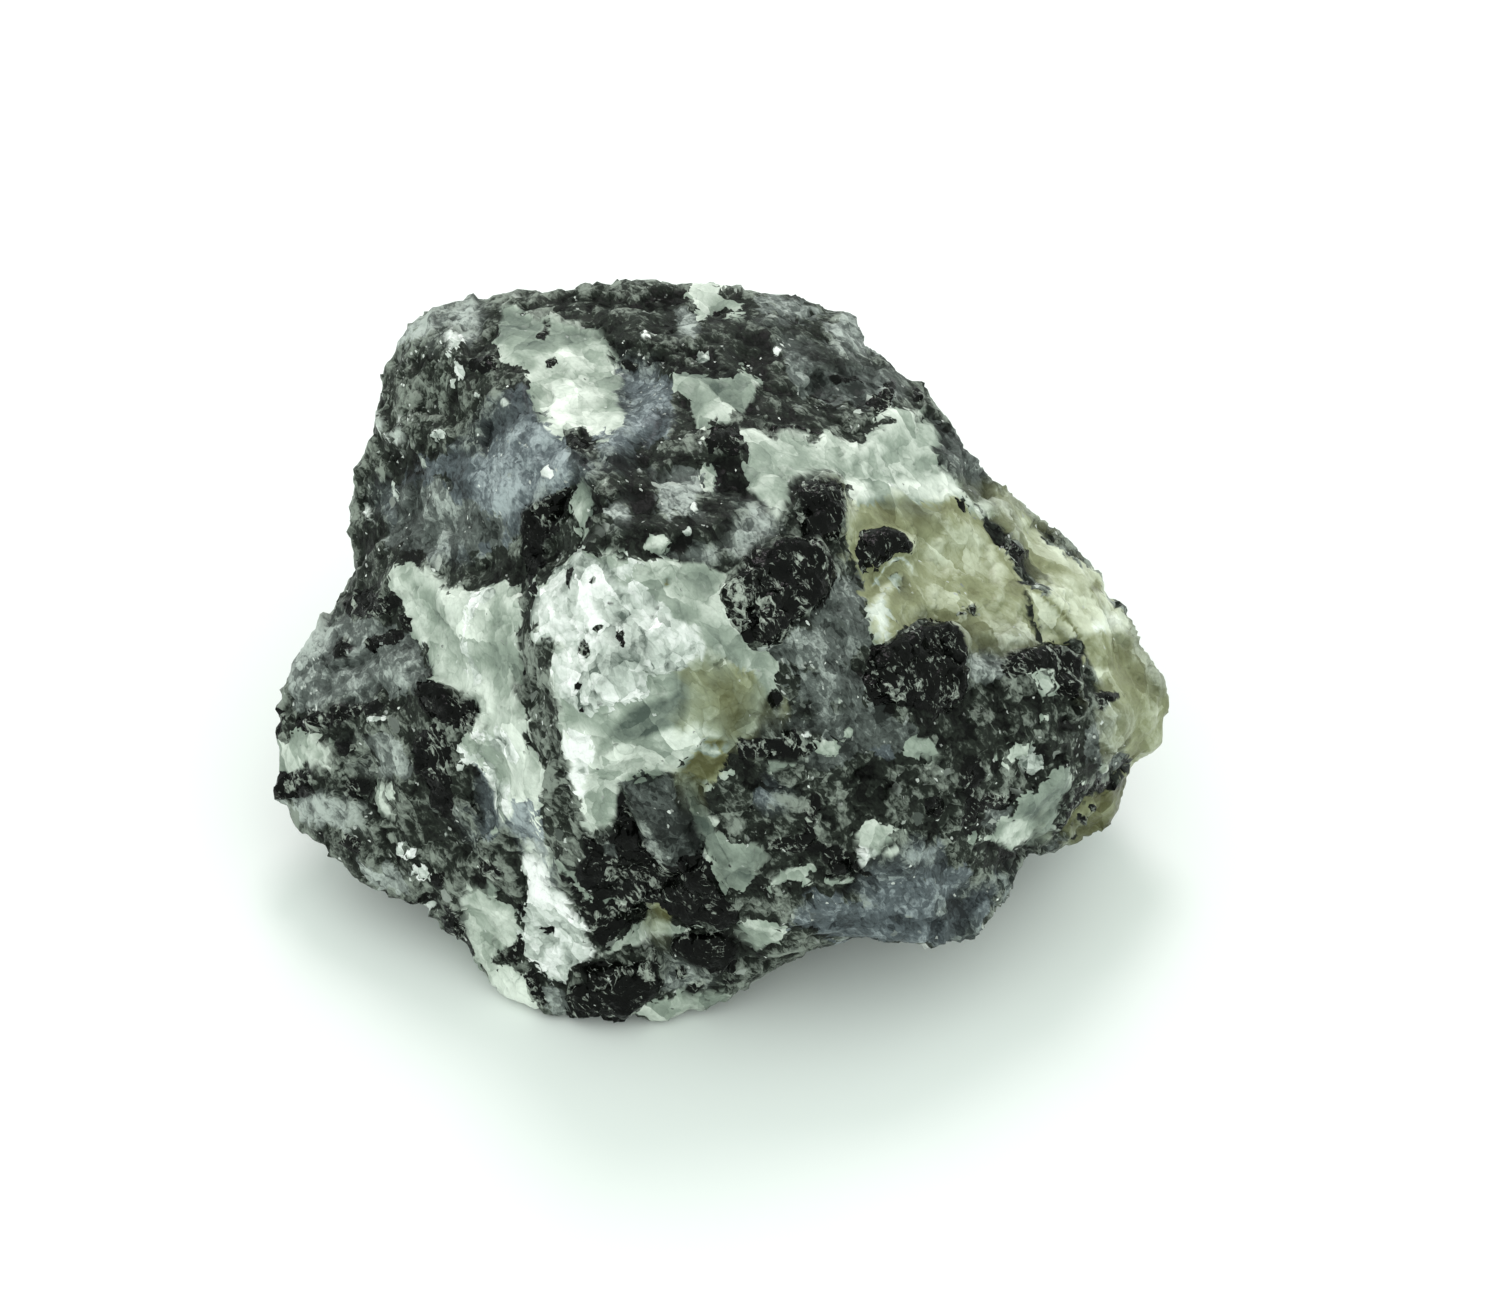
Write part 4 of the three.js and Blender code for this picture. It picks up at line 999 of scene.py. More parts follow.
MARKINGS: Markings = (
    LEFT_FACE + UPPER_QUARTZ + TOP_FACE + PALE_BAND + QUARTZ_FACE + LEDGES + WHITE_HEART + LEFT_RIDGE
    + LEFT_LOBE + FOOT + PRISMS + DARK_CRYSTALS + RIGHT_LOBE
)


@dataclass(frozen=True)
class Sight:
    """The line of sight that the markings are drawn along, in metres and degrees."""

    centre: Vector = field(default_factory=lambda: Vector((-0.311, -3.412, 22.5)) * MM)
    elevation: float = 45.0
    distance: float = 600 * MM
    frame_width: float = 150 * MM
    frame_shift: float = 3 * MM
    sensor: float = 36.0
    clip_start: float = 10 * MM

    @property
    def right(self) -> Vector:
        """The direction to the right in the view."""
        return Vector((1, 0, 0))

    @property
    def up(self) -> Vector:
        """The direction upwards in the view."""
        tilt = math.radians(self.elevation)
        return Vector((0, math.sin(tilt), math.cos(tilt)))

    @property
    def near(self) -> Vector:
        """The direction towards the viewer."""
        tilt = math.radians(self.elevation)
        return Vector((0, -math.cos(tilt), math.sin(tilt)))

    def seen(self, points: np.ndarray) -> np.ndarray:
        """Where points appear in the view.

        Args:
            points: Points in metres, one row each.

        Returns:
            Rows of right and up in mm, in the plane through the sight's centre.
        """
        offset = points - np.array(self.centre)
        growth = 1 / (1 - offset @ np.array(self.near) / self.distance)
        flat = np.stack([offset @ np.array(self.right), offset @ np.array(self.up)], axis=1)
        return flat * growth[:, None] / MM

    def camera(self) -> bpy.types.Object:
        """A camera that looks along the sight line.

        Returns:
            The camera object.
        """
        data = bpy.data.cameras.new("camera")
        data.sensor_width = self.sensor
        data.lens = self.sensor * self.distance / self.frame_width
        data.clip_start = self.clip_start
        turn = Matrix((self.right, self.up, self.near)).transposed().to_4x4()
        stand = self.centre + self.near * self.distance + self.right * self.frame_shift
        camera = bpy.data.objects.new("camera", data)
        camera.matrix_world = Matrix.Translation(stand) @ turn
        bpy.context.scene.collection.objects.link(camera)
        return camera


def smooth_step(low: float, high: float, values: np.ndarray) -> np.ndarray:
    """A smooth rise from 0 at low to 1 at high.

    Args:
        low: Where the rise starts.
        high: Where it ends.
        values: The values to map.

    Returns:
        Numbers from 0 to 1.
    """
    share = np.clip((values - low) / (high - low), 0, 1)
    return share * share * (3 - 2 * share)


class MineralMap:
    """Which mineral lies at each point of a surface, and how light it is.

    TONE_FADE is how far a tone fades at a patch's edge, and RUN_ON how far a mineral runs on under one that
    lies over it, both in mm.
    """

    TONE_FADE = 0.5
    RUN_ON = 1.2

    def __init__(self, count: int) -> None:
        """Starts with bare ground.

        Args:
            count: The number of points.
        """
        self.depths = {mineral: np.full(count, -FAR) for mineral in Mineral}
        self.depths[GROUND][:] = FAR
        self.tone = np.zeros(count)

    def paint(self, mineral: Mineral, tone: float, depth: np.ndarray) -> None:
        """Lays one patch over what is there.

        Args:
            mineral: The patch's mineral.
            tone: Its tone, from -1 for dark to 1 for light.
            depth: How far each point lies inside the patch, in mm.
        """
        depth = np.clip(depth, -FAR, FAR)
        own = depth.copy()
        for other in Mineral:
            if other.value > mineral.value:
                own[self.depths[other] > 0] += self.RUN_ON
                self.depths[other] = np.minimum(self.depths[other], -depth)
        self.depths[mineral] = np.maximum(self.depths[mineral], np.minimum(own, FAR))
        self.tone += (tone - self.tone) * smooth_step(-self.TONE_FADE, self.TONE_FADE, depth)

    def merge(self, other: "MineralMap", share: np.ndarray) -> None:
        """Goes over to another map.

        Args:
            other: The map to go over to.
            share: How far to go at each point, from 0 to 1.
        """
        for mineral in Mineral:
            self.depths[mineral] += (other.depths[mineral] - self.depths[mineral]) * share
        self.tone += (other.tone - self.tone) * share

    def mean(self, value: str) -> np.ndarray:
        """One number of the finishes, as it holds at each point.

        Args:
            value: The field of MineralFinish.

        Returns:
            The number of the mineral that is on top, faded at its edge.
        """
        result = np.full(len(self.tone), getattr(FINISHES[GROUND], value))
        for mineral in INCLUSIONS:
            share = smooth_step(-self.TONE_FADE, self.TONE_FADE, self.depths[mineral])
            result += (getattr(FINISHES[mineral], value) - result) * share
        return result

    def store(self, mesh: bpy.types.Mesh) -> None:
        """Writes the map to a mesh as attributes of its points.

        Args:
            mesh: The mesh, with as many points as the map.
        """
        columns = {mineral.attribute: self.depths[mineral] for mineral in INCLUSIONS}
        columns[Layer.TONE.value] = self.tone
        columns[Layer.LEDGES.value] = self.mean("ledges")
        columns[Layer.CLEAVAGE.value] = self.mean("cleavage")
        columns[Layer.LIFT.value] = self.mean("lift")
        for name, values in columns.items():
            store(mesh, name, values)


@dataclass(frozen=True)
class SeenSide:
    """The minerals on the side that faces the sight line, drawn as markings.

    In mm, margin is how far round a marking its edge is worked out, and least_depth how deep its middle
    counts at least, so that a thin one isn't lost. No marking counts as thinner than thinnest.
    """

    sight: Sight
    margin: float = 4.0
    least_depth: float = 0.7
    thinnest: float = 0.1

    def map(self, points: np.ndarray) -> MineralMap:
        """Paints every marking in order.

        Args:
            points: Points of the surface, in metres.

        Returns:
            The painted map.
        """
        places = self.sight.seen(points)
        painted = MineralMap(len(points))
        for marking in MARKINGS:
            corners = marking.corners()
            low = corners.min(axis=0) - self.margin
            high = corners.max(axis=0) + self.margin
            close = np.all((places > low) & (places < high), axis=1)
            depth = np.full(len(points), -FAR)
            if close.any():
                found = marking.depth(places[close])
                depth[close] = found * max(1.0, self.least_depth / max(found.max(), self.thinnest))
            painted.paint(marking.mineral, marking.tone, depth)
        return painted


@dataclass(frozen=True)
class Lumps:
    """Random lumps of one mineral: how many, their half lengths in mm, and their tones."""

    mineral: Mineral
    count: int
    smallest: float
    largest: float
    darkest: float
    lightest: float


@dataclass(frozen=True)
class HiddenSide:
    """The same mixture of minerals on the sides that the sight line doesn't reach.

    slimmest is the least share of its half length that a lump has in any direction.
    """

    seed: int = 17
    slimmest: float = 0.5
    lumps: tuple[Lumps, ...] = (
        Lumps(GREY, 16, 5, 12, -0.4, 0.5),
        Lumps(BLUE, 10, 6, 12, -0.4, 0.4),
        Lumps(PALE, 16, 4, 12, -0.2, 0.5),
        Lumps(OLIVE, 5, 5, 10, -0.5, 0.4),
        Lumps(WHITE, 12, 2, 7, -0.2, 0.2),
        Lumps(BLACK, 60, 1, 6, -0.1, 0.4),
    )

    def map(self, points: np.ndarray) -> MineralMap:
        """Scatters the lumps through the stone.

        Args:
            points: Points of the surface, in metres.

        Returns:
            The map of the lumps that reach the surface.
        """
        random = np.random.default_rng(self.seed)
        painted = MineralMap(len(points))
        for kind in self.lumps:
            for middle in points[random.integers(len(points), size=kind.count)]:
                half = random.uniform(kind.smallest, kind.largest) * random.uniform(self.slimmest, 1.0, 3)
                turn, _ = np.linalg.qr(random.normal(size=(3, 3)))
                away = np.linalg.norm((points - middle) @ turn / MM / half, axis=1)
                tone = random.uniform(kind.darkest, kind.lightest)
                painted.paint(kind.mineral, tone, (1 - away) * half.min())
        return painted


class NodeBench:
    """Makes the nodes of one tree and joins them."""

    def __init__(self, tree: bpy.types.NodeTree) -> None:
        """Keeps the tree that the nodes go in."""
        self.tree = tree

    def node(self, kind: str, **settings: object) -> bpy.types.Node:
        """Adds a node.

        Args:
            kind: The node's type.
            **settings: Its properties.

        Returns:
            The new node.
        """
        made = self.tree.nodes.new(kind)
        for name, value in settings.items():
            setattr(made, name, value)
        return made

    def feed(self, target: Socket, value: Input) -> None:
        """Links a socket to an input, or sets the input to a constant."""
        if isinstance(value, bpy.types.NodeSocket):
            self.tree.links.new(value, target)
        else:
            target.default_value = value

    def math(self, operation: str, *values: Input) -> Socket:
        """A number worked out from others.

        Args:
            operation: The Math node's operation.
            *values: Its inputs, in order.

        Returns:
            The result.
        """
        made = self.node("ShaderNodeMath", operation=operation)
        for target, value in zip(made.inputs, values):
            self.feed(target, value)
        return made.outputs[0]

    def total(self, *values: Input) -> Socket:
        """The sum of several numbers."""
        result = values[0]
        for value in values[1:]:
            result = self.math("ADD", result, value)
        return result

    def vector(self, operation: str, *values: Input) -> Socket:
        """A vector, or a number for a dot product, worked out from others.

        Args:
            operation: The Vector Math node's operation.
            *values: Its inputs, in order. A number is a scale factor.

        Returns:
            The result.
        """
        made = self.node("ShaderNodeVectorMath", operation=operation)
        if operation == "SCALE":
            self.feed(made.inputs[0], values[0])
            self.feed(made.inputs["Scale"], values[1])
        else:
            for target, value in zip(made.inputs, values):
                self.feed(target, value)
        return made.outputs["Value" if operation == "DOT_PRODUCT" else "Vector"]

    def noise(self, place: Socket, size: Input, detail: float = 2.0, rough: float = 0.5) -> bpy.types.Node:
        """Smooth noise whose waves have a given length.

        Args:
            place: Where to read it.
            size: The length of a wave.
            detail: How many finer waves are added.
            rough: How strong the finer waves are.

        Returns:
            The noise node.
        """
        made = self.node("ShaderNodeTexNoise")
        self.feed(made.inputs["Vector"], place)
        self.feed(made.inputs["Scale"], self.inverse(size))
        made.inputs["Detail"].default_value = detail
        made.inputs["Roughness"].default_value = rough
        return made

    def cells(self, place: Socket, size: Input, feature: str = "F1") -> bpy.types.Node:
        """Cells of a given size around scattered points.

        Args:
            place: Where to read them.
            size: The size of a cell.
            feature: What the node works out.

        Returns:
            The Voronoi node.
        """
        made = self.node("ShaderNodeTexVoronoi", feature=feature)
        self.feed(made.inputs["Vector"], place)
        self.feed(made.inputs["Scale"], self.inverse(size))
        return made

    def drawn(self, cells: bpy.types.Node, channel: int) -> Socket:
        """A random number from 0 to 1 for each cell.

        Args:
            cells: The cells.
            channel: Which of a cell's three numbers to take.

        Returns:
            The number.
        """
        split = self.node("ShaderNodeSeparateColor")
        self.feed(split.inputs[0], cells.outputs["Color"])
        return split.outputs[channel]

    def drift(self, place: Socket, size: Input, reach: Input) -> Socket:
        """A smooth random shift of places.

        Args:
            place: Where to read it.
            size: The length of its waves.
            reach: How far it goes, as the width of its range.

        Returns:
            The shift.
        """
        drawn = self.noise(place, size, 1).outputs["Color"]
        return self.vector("SCALE", self.vector("SUBTRACT", drawn, MIDDLE), reach)

    def inverse(self, value: Input) -> Input:
        """One over a number or a socket."""
        return 1 / value if isinstance(value, (int, float)) else self.math("DIVIDE", 1.0, value)

    def tilted(self, cells: bpy.types.Node, place: Socket, size: Input) -> Socket:
        """Height of broken faces, each a cell with a tilt of its own, from about -0.5 to 0.5.

        Args:
            cells: The cells.
            place: Where they are read.
            size: The size of a cell.

        Returns:
            The height as a share of the face's size.
        """
        tilt = self.vector("SUBTRACT", cells.outputs["Color"], MIDDLE)
        arm = self.vector("SUBTRACT", place, cells.outputs["Position"])
        return self.math("MULTIPLY", self.vector("DOT_PRODUCT", tilt, arm), self.inverse(size))

    def stepped(self, place: Socket, size: Input, pitch: Input) -> Socket:
        """Height of cleavage steps, which run side by side in each cell, from 0 to 1.

        Args:
            place: Where to read it.
            size: The size of a cell.
            pitch: The distance from one step to the next.

        Returns:
            The height as a share of the step's height.
        """
        cells = self.cells(place, size)
        heading = self.vector("SUBTRACT", cells.outputs["Color"], MIDDLE)
        arm = self.vector("SUBTRACT", place, cells.outputs["Position"])
        along = self.vector("DOT_PRODUCT", self.vector("NORMALIZE", heading), arm)
        return self.math("FRACT", self.math("MULTIPLY", along, self.inverse(pitch)))

    def rise(self, value: Socket, low: Input, high: Input) -> Socket:
        """A smooth rise from 0 at low to 1 at high.

        Args:
            value: The value to map.
            low: Where the rise starts.
            high: Where it ends.

        Returns:
            A number from 0 to 1.
        """
        made = self.node("ShaderNodeMapRange", interpolation_type="SMOOTHSTEP")
        self.feed(made.inputs["Value"], value)
        self.feed(made.inputs["From Min"], low)
        self.feed(made.inputs["From Max"], high)
        return made.outputs["Result"]

    def centred(self, value: Socket, reach: float) -> Socket:
        """A share from 0 to 1 turned into a number from -reach to reach."""
        return self.math("MULTIPLY_ADD", value, 2 * reach, -reach)

    def mixed(self, share: Socket, under: Input, over: Input) -> Socket:
        """A number that goes from under to over.

        Args:
            share: How far to go.
            under: The number at 0.
            over: The number at 1.

        Returns:
            The mixed number.
        """
        made = self.node("ShaderNodeMix", data_type="FLOAT")
        self.feed(made.inputs[0], share)
        self.feed(made.inputs[2], under)
        self.feed(made.inputs[3], over)
        return made.outputs[0]

    def mixed_colour(self, share: Socket, under: Input, over: Input) -> Socket:
        """A colour that goes from under to over.

        Args:
            share: How far to go.
            under: The colour at 0.
            over: The colour at 1.

        Returns:
            The mixed colour.
        """
        made = self.node("ShaderNodeMix", data_type="RGBA")
        self.feed(made.inputs[0], share)
        self.feed(made.inputs[6], under)
        self.feed(made.inputs[7], over)
        return made.outputs[2]


def linear(colour: Colour) -> tuple[float, float, float, float]:
    """A display colour as the linear one that shaders use.

    Args:
        colour: Red, green and blue from 0 to 255.

    Returns:
        Linear red, green and blue, and full opacity.
    """
    shares = [value / 255 for value in colour]
    bent = [s / 12.92 if s <= 0.04045 else ((s + 0.055) / 1.055) ** 2.4 for s in shares]
    return (*bent, 1.0)


@dataclass(frozen=True)
class Fabric:
    """The patterns that the stone's colour and its fine relief share."""

    place: Socket
    drawn_out: Socket
    blocks: bpy.types.Node
    shards: bpy.types.Node
    chips: bpy.types.Node
    steps: Socket
    edge_glints: Socket


@dataclass(frozen=True)
class Cover:
    """How far a mineral covers what lies under it, and how deep inside its edge a place is, in mm."""

    share: Socket
    depth: Socket


@dataclass(frozen=True)
class Flecks:
    """Small angular flecks, in colours between first and second.

    field is the number of MineralFinish that says how common they are, size is in mm, and start is where
    their pattern starts. The small glints flecks are painted glints, and the larger bright flecks are partly
    pale grains and partly painted glints.
    """

    field: str
    size: float
    start: tuple[float, float, float]
    first: Colour
    second: Colour


Covers = dict[Mineral, Cover]


@dataclass(frozen=True)
class StoneFinish:
    """The stone's material. Lengths are in mm.

    broad_bend and fine_bend are how far its patterns are bent. edge_glint_width and edge_glint_spread say
    where painted glints run along the edges between shards, and blur_spread where edges are blurred.
    edge_wander, shard_wander and chip_wander are how far edges wander. noise_reach stretches smooth noise,
    which seldom comes near its ends. step_glint_start is where a cleavage step starts to carry a painted
    glint, and crowding how far flecks gather. blur_range is the sharpest and the most blurred edge, as
    shares of soft.
    face_shade_slope is how strongly painted shade runs across each broken face, and crevice_shade_width and
    crevice_shade_strength how wide and how dark the painted shade beside a pale mineral's edge is.
    """

    cloud_size: float = 4.5
    edge_size: float = 3.0
    grain_size: float = 0.3
    grain_rough: float = 0.6
    block_size: float = 3.4
    shard_size: float = 1.5
    shard_height: float = 0.55
    chip_size: float = 0.55
    chip_height: float = 0.2
    fine_height: float = 0.03
    crystal_size: float = 5.0
    step_pitch: float = 0.45
    step_height: float = 0.12
    grain_way: tuple[float, float, float] = (0.61, -0.56, -0.56)
    grain_stretch: float = 1.6
    broad_bend: float = 1.2
    fine_bend: float = 0.33
    edge_glint_width: tuple[float, float] = (0.07, 0.02)
    edge_glint_spread: tuple[float, float] = (0.5, 0.62)
    edge_wander: float = 1.4
    shard_wander: float = 0.5
    chip_wander: float = 0.25
    noise_reach: float = 2.5
    step_glint_start: float = 0.7
    crowding: float = 5.0
    fleck_edge: float = 0.01
    face_contrast: float = 0.6
    face_shade_slope: float = 2.5
    rim_width: float = 0.8
    blur_size: float = 7.0
    blur_range: tuple[float, float] = (0.3, 5.0)
    blur_spread: tuple[float, float] = (0.45, 0.65)
    crevice_shade_width: float = 0.9
    crevice_shade_strength: float = -0.3
    # The small flecks are painted glints; the larger are partly pale grains, partly painted glints.
    flecks: tuple[Flecks, ...] = (
        Flecks("glints", 0.22, (1.9, 8.3, 3.1), (60, 65, 61), (225, 229, 224)),
        Flecks("bright", 0.8, (5.7, 0.9, 6.1), (70, 76, 71), (190, 196, 189)),
    )
    specular: float = 0.1

    def material(self) -> bpy.types.Material:
        """Builds the material.

        Returns:
            The stone material.
        """
        made = bpy.data.materials.new("stone")
        made.use_nodes = True
        made.node_tree.nodes.clear()
        bench = NodeBench(made.node_tree)
        fabric = self.fabric(bench)
        covers = self.covers(bench, fabric)
        shader = bench.node("ShaderNodeBsdfPrincipled")
        shader.inputs["Specular IOR Level"].default_value = self.specular
        bench.feed(shader.inputs["Base Color"], self.colour(bench, covers, fabric))
        bench.feed(shader.inputs["Roughness"], self.stacked(bench, covers, "roughness"))
        bench.feed(shader.inputs["Normal"], self.normal(bench, covers, fabric))
        output = bench.node("ShaderNodeOutputMaterial")
        bench.feed(output.inputs["Surface"], shader.outputs[0])
        return made

    def fabric(self, bench: NodeBench) -> Fabric:
        """The patterns, drawn out the way the stone's grain runs.

        Args:
            bench: The material's nodes.

        Returns:
            The patterns.
        """
        place = bench.vector("SCALE", bench.node("ShaderNodeTexCoord").outputs["Object"], 1 / MM)
        along = bench.vector("DOT_PRODUCT", place, self.grain_way)
        taken = bench.math("MULTIPLY", along, 1 / self.grain_stretch - 1)
        drawn_out = bench.vector("ADD", place, bench.vector("SCALE", self.grain_way, taken))
        broad = bench.drift(drawn_out, self.edge_size, self.broad_bend)
        fine = bench.drift(drawn_out, self.chip_size, self.fine_bend)
        bent = bench.vector("ADD", bench.vector("ADD", drawn_out, broad), fine)
        # Where painted glints run along the edges between shards, in patches.
        crossed = bench.cells(bent, self.shard_size, "DISTANCE_TO_EDGE").outputs["Distance"]
        near = bench.rise(crossed, *self.edge_glint_width)
        some = bench.rise(bench.noise(drawn_out, self.block_size, 2).outputs[0], *self.edge_glint_spread)
        return Fabric(
            place=bent,
            drawn_out=drawn_out,
            blocks=bench.cells(bent, self.block_size),
            shards=bench.cells(bent, self.shard_size),
            chips=bench.cells(bent, self.chip_size),
            steps=bench.stepped(bent, self.crystal_size, self.step_pitch),
            edge_glints=bench.math("MULTIPLY", near, some),
        )

    def covers(self, bench: NodeBench, fabric: Fabric) -> Covers:
        """How far each mineral covers what lies under it.

        Args:
            bench: The material's nodes.
            fabric: The patterns that break up a mineral's edge.

        Returns:
            The cover of each mineral but the ground.
        """
        broad = bench.centred(bench.noise(fabric.drawn_out, self.edge_size, 2).outputs[0], self.edge_wander)
        coarse = bench.centred(bench.drawn(fabric.shards, 2), self.shard_wander)
        fine = bench.centred(bench.drawn(fabric.chips, 2), self.chip_wander)
        wander = bench.total(broad, coarse, fine)
        soft_parts = bench.noise(fabric.drawn_out, self.blur_size, 1).outputs[0]
        blur = bench.mixed(bench.rise(soft_parts, *self.blur_spread), *self.blur_range)
        covers = {}
        for mineral in INCLUSIONS:
            finish = FINISHES[mineral]
            depth = bench.node("ShaderNodeAttribute", attribute_name=mineral.attribute).outputs["Fac"]
            ragged = bench.math("MULTIPLY_ADD", wander, finish.ragged, depth)
            low = bench.math("MULTIPLY", blur, -finish.soft)
            high = bench.math("MULTIPLY", blur, finish.soft)
            covers[mineral] = Cover(bench.rise(ragged, low, high), ragged)
        return covers

    def stacked(self, bench: NodeBench, covers: Covers, value: str) -> Socket:
        """One number of the finishes, for the mineral that is on top.

        Args:
            bench: The material's nodes.
            covers: How far each mineral covers what lies under it.
            value: The field of MineralFinish.

        Returns:
            The number.
        """
        result = getattr(FINISHES[GROUND], value)
        for mineral, cover in covers.items():
            result = bench.mixed(cover.share, result, getattr(FINISHES[mineral], value))
        return result

    def crevice_shade(self, bench: NodeBench, covers: Covers) -> Socket:
        """Where the darker minerals get painted shade beside a pale one, as in a crevice at its edge.

        Args:
            bench: The material's nodes.
            covers: How far each mineral covers what lies under it.

        Returns:
            1 at the pale mineral's edge, down to 0 away from it.
        """
        result = 0.0
        for mineral, cover in covers.items():
            if FINISHES[mineral].rim:
                result = bench.math("MAXIMUM", result, bench.rise(cover.depth, -self.crevice_shade_width, 0.0))
        return result

    def colour(self, bench: NodeBench, covers: Covers, fabric: Fabric) -> Socket:
        """The stone's colour.

        Args:
            bench: The material's nodes.
            covers: How far each mineral covers what lies under it.
            fabric: The patterns that vary it.

        Returns:
            The colour with its flecks.
        """
        tone = bench.node("ShaderNodeAttribute", attribute_name=Layer.TONE.value).outputs["Fac"]
        clouds = bench.noise(fabric.drawn_out, self.cloud_size, 2).outputs[0]
        grains = bench.noise(fabric.place, self.grain_size, 2, self.grain_rough).outputs[0]
        # Painted glints along the edges of cleavage steps.
        lines = bench.rise(fabric.steps, self.step_glint_start, 1.0)
        shifts = {
            "cloud": bench.centred(clouds, self.noise_reach),
            # Blocks and shards: a random tone for each face plus painted shade across it, lighter to one
            # side.
            "blocks": self.face_tone_and_shade(bench, fabric.blocks, fabric.place, self.block_size),
            "shards": self.face_tone_and_shade(bench, fabric.shards, fabric.place, self.shard_size),
            "chips": bench.centred(bench.drawn(fabric.chips, 1), 1.0),
            "grain": bench.centred(grains, self.noise_reach),
            "lines": bench.math("MULTIPLY", lines, bench.drawn(fabric.chips, 0)),
            # Painted glints along the edges between shards; where the amount is below zero these edges are
            # darker instead.
            "edge_glints": fabric.edge_glints,
            # Painted highlight on crests and painted shade in crevices.
            "crest": bench.node("ShaderNodeAttribute", attribute_name=Layer.CREST.value).outputs["Fac"],
        }
        crevice_shade = self.crevice_shade(bench, covers)
        result = None
        for mineral in Mineral:
            finish = FINISHES[mineral]
            shade = tone
            for name, shift in shifts.items():
                shade = bench.math("MULTIPLY_ADD", shift, getattr(finish, name), shade)
            # The edge of a pale mineral is lighter: partly chipped white, partly painted highlight.
            if finish.rim:
                rim = bench.rise(covers[mineral].depth, self.rim_width, 0.0)
                shade = bench.math("MULTIPLY_ADD", rim, finish.rim, shade)
            # Darker minerals beside a pale one get painted shade, as in a crevice.
            elif mineral is not BLACK:
                shade = bench.math("MULTIPLY_ADD", crevice_shade, self.crevice_shade_strength, shade)
            ramp = bench.node("ShaderNodeValToRGB")
            ramp.color_ramp.elements.new(finish.knee)
            for stop, value in zip(ramp.color_ramp.elements, (finish.dark, finish.middle, finish.light)):
                stop.color = linear(value)
            bench.feed(ramp.inputs[0], bench.math("MULTIPLY_ADD", shade, 0.5, 0.5))
            own = ramp.outputs[0]
            result = own if result is None else bench.mixed_colour(covers[mineral].share, result, own)
        # Painted glints and pale flecks go over the colour.
        for kind in self.flecks:
            result = self.flecked(bench, result, fabric, kind, self.stacked(bench, covers, kind.field))
        return result

    def face_tone_and_shade(self, bench: NodeBench, cells: bpy.types.Node, place: Socket, size: float) -> Socket:
        """Tone of broken faces: a random tone for each, and painted shade across each, lighter to one side.

        Args:
            bench: The material's nodes.
            cells: The faces.
            place: Where they are read.
            size: The size of a face.

        Returns:
            The shade, from about -1 to 1.
        """
        whole = bench.centred(bench.drawn(cells, 1), self.face_contrast)
        return bench.math("MULTIPLY_ADD", bench.tilted(cells, place, size), self.face_shade_slope, whole)

    def flecked(
        self, bench: NodeBench, under: Socket, fabric: Fabric, kind: Flecks, common: Socket
    ) -> Socket:
        """A colour with flecks on it.

        Args:
            bench: The material's nodes.
            under: The colour between the flecks.
            fabric: The patterns that the flecks follow.
            kind: The flecks.
            common: The share of places that have one.

        Returns:
            The colour with the flecks.
        """
        moved = bench.vector("ADD", fabric.place, kind.start)
        cells = bench.cells(moved, kind.size)
        crowd = bench.centred(bench.noise(moved, self.cloud_size, 2).outputs[0], self.crowding)
        chance = bench.math("MULTIPLY_ADD", common, crowd, common)
        chosen = bench.rise(bench.math("ADD", bench.drawn(cells, 0), chance), 1.0, 1.0 + self.fleck_edge)
        own = bench.mixed_colour(bench.drawn(cells, 1), linear(kind.first), linear(kind.second))
        return bench.mixed_colour(chosen, under, own)

    def normal(self, bench: NodeBench, covers: Covers, fabric: Fabric) -> Socket:
        """Small broken faces, finer than the mesh.

        Args:
            bench: The material's nodes.
            covers: How far each mineral covers what lies under it.
            fabric: The patterns that the faces follow.

        Returns:
            The bumped normal.
        """
        shards = bench.tilted(fabric.shards, fabric.place, self.shard_size)
        chips = bench.tilted(fabric.chips, fabric.place, self.chip_size)
        fine = bench.noise(fabric.place, self.grain_size, 2, self.grain_rough).outputs[0]
        broken = bench.total(
            bench.math("MULTIPLY", shards, self.shard_height),
            bench.math("MULTIPLY", chips, self.chip_height),
            bench.math("MULTIPLY", fine, self.fine_height),
        )
        broken = bench.math("MULTIPLY", broken, self.stacked(bench, covers, "facets"))
        steps = bench.math("MULTIPLY", fabric.steps, self.step_height)
        height = bench.math("MULTIPLY_ADD", steps, self.stacked(bench, covers, "cleavage"), broken)
        bump = bench.node("ShaderNodeBump")
        bump.inputs["Strength"].default_value = 1.0
        bump.inputs["Distance"].default_value = MM
        bench.feed(bump.inputs["Height"], height)
        return bump.outputs[0]


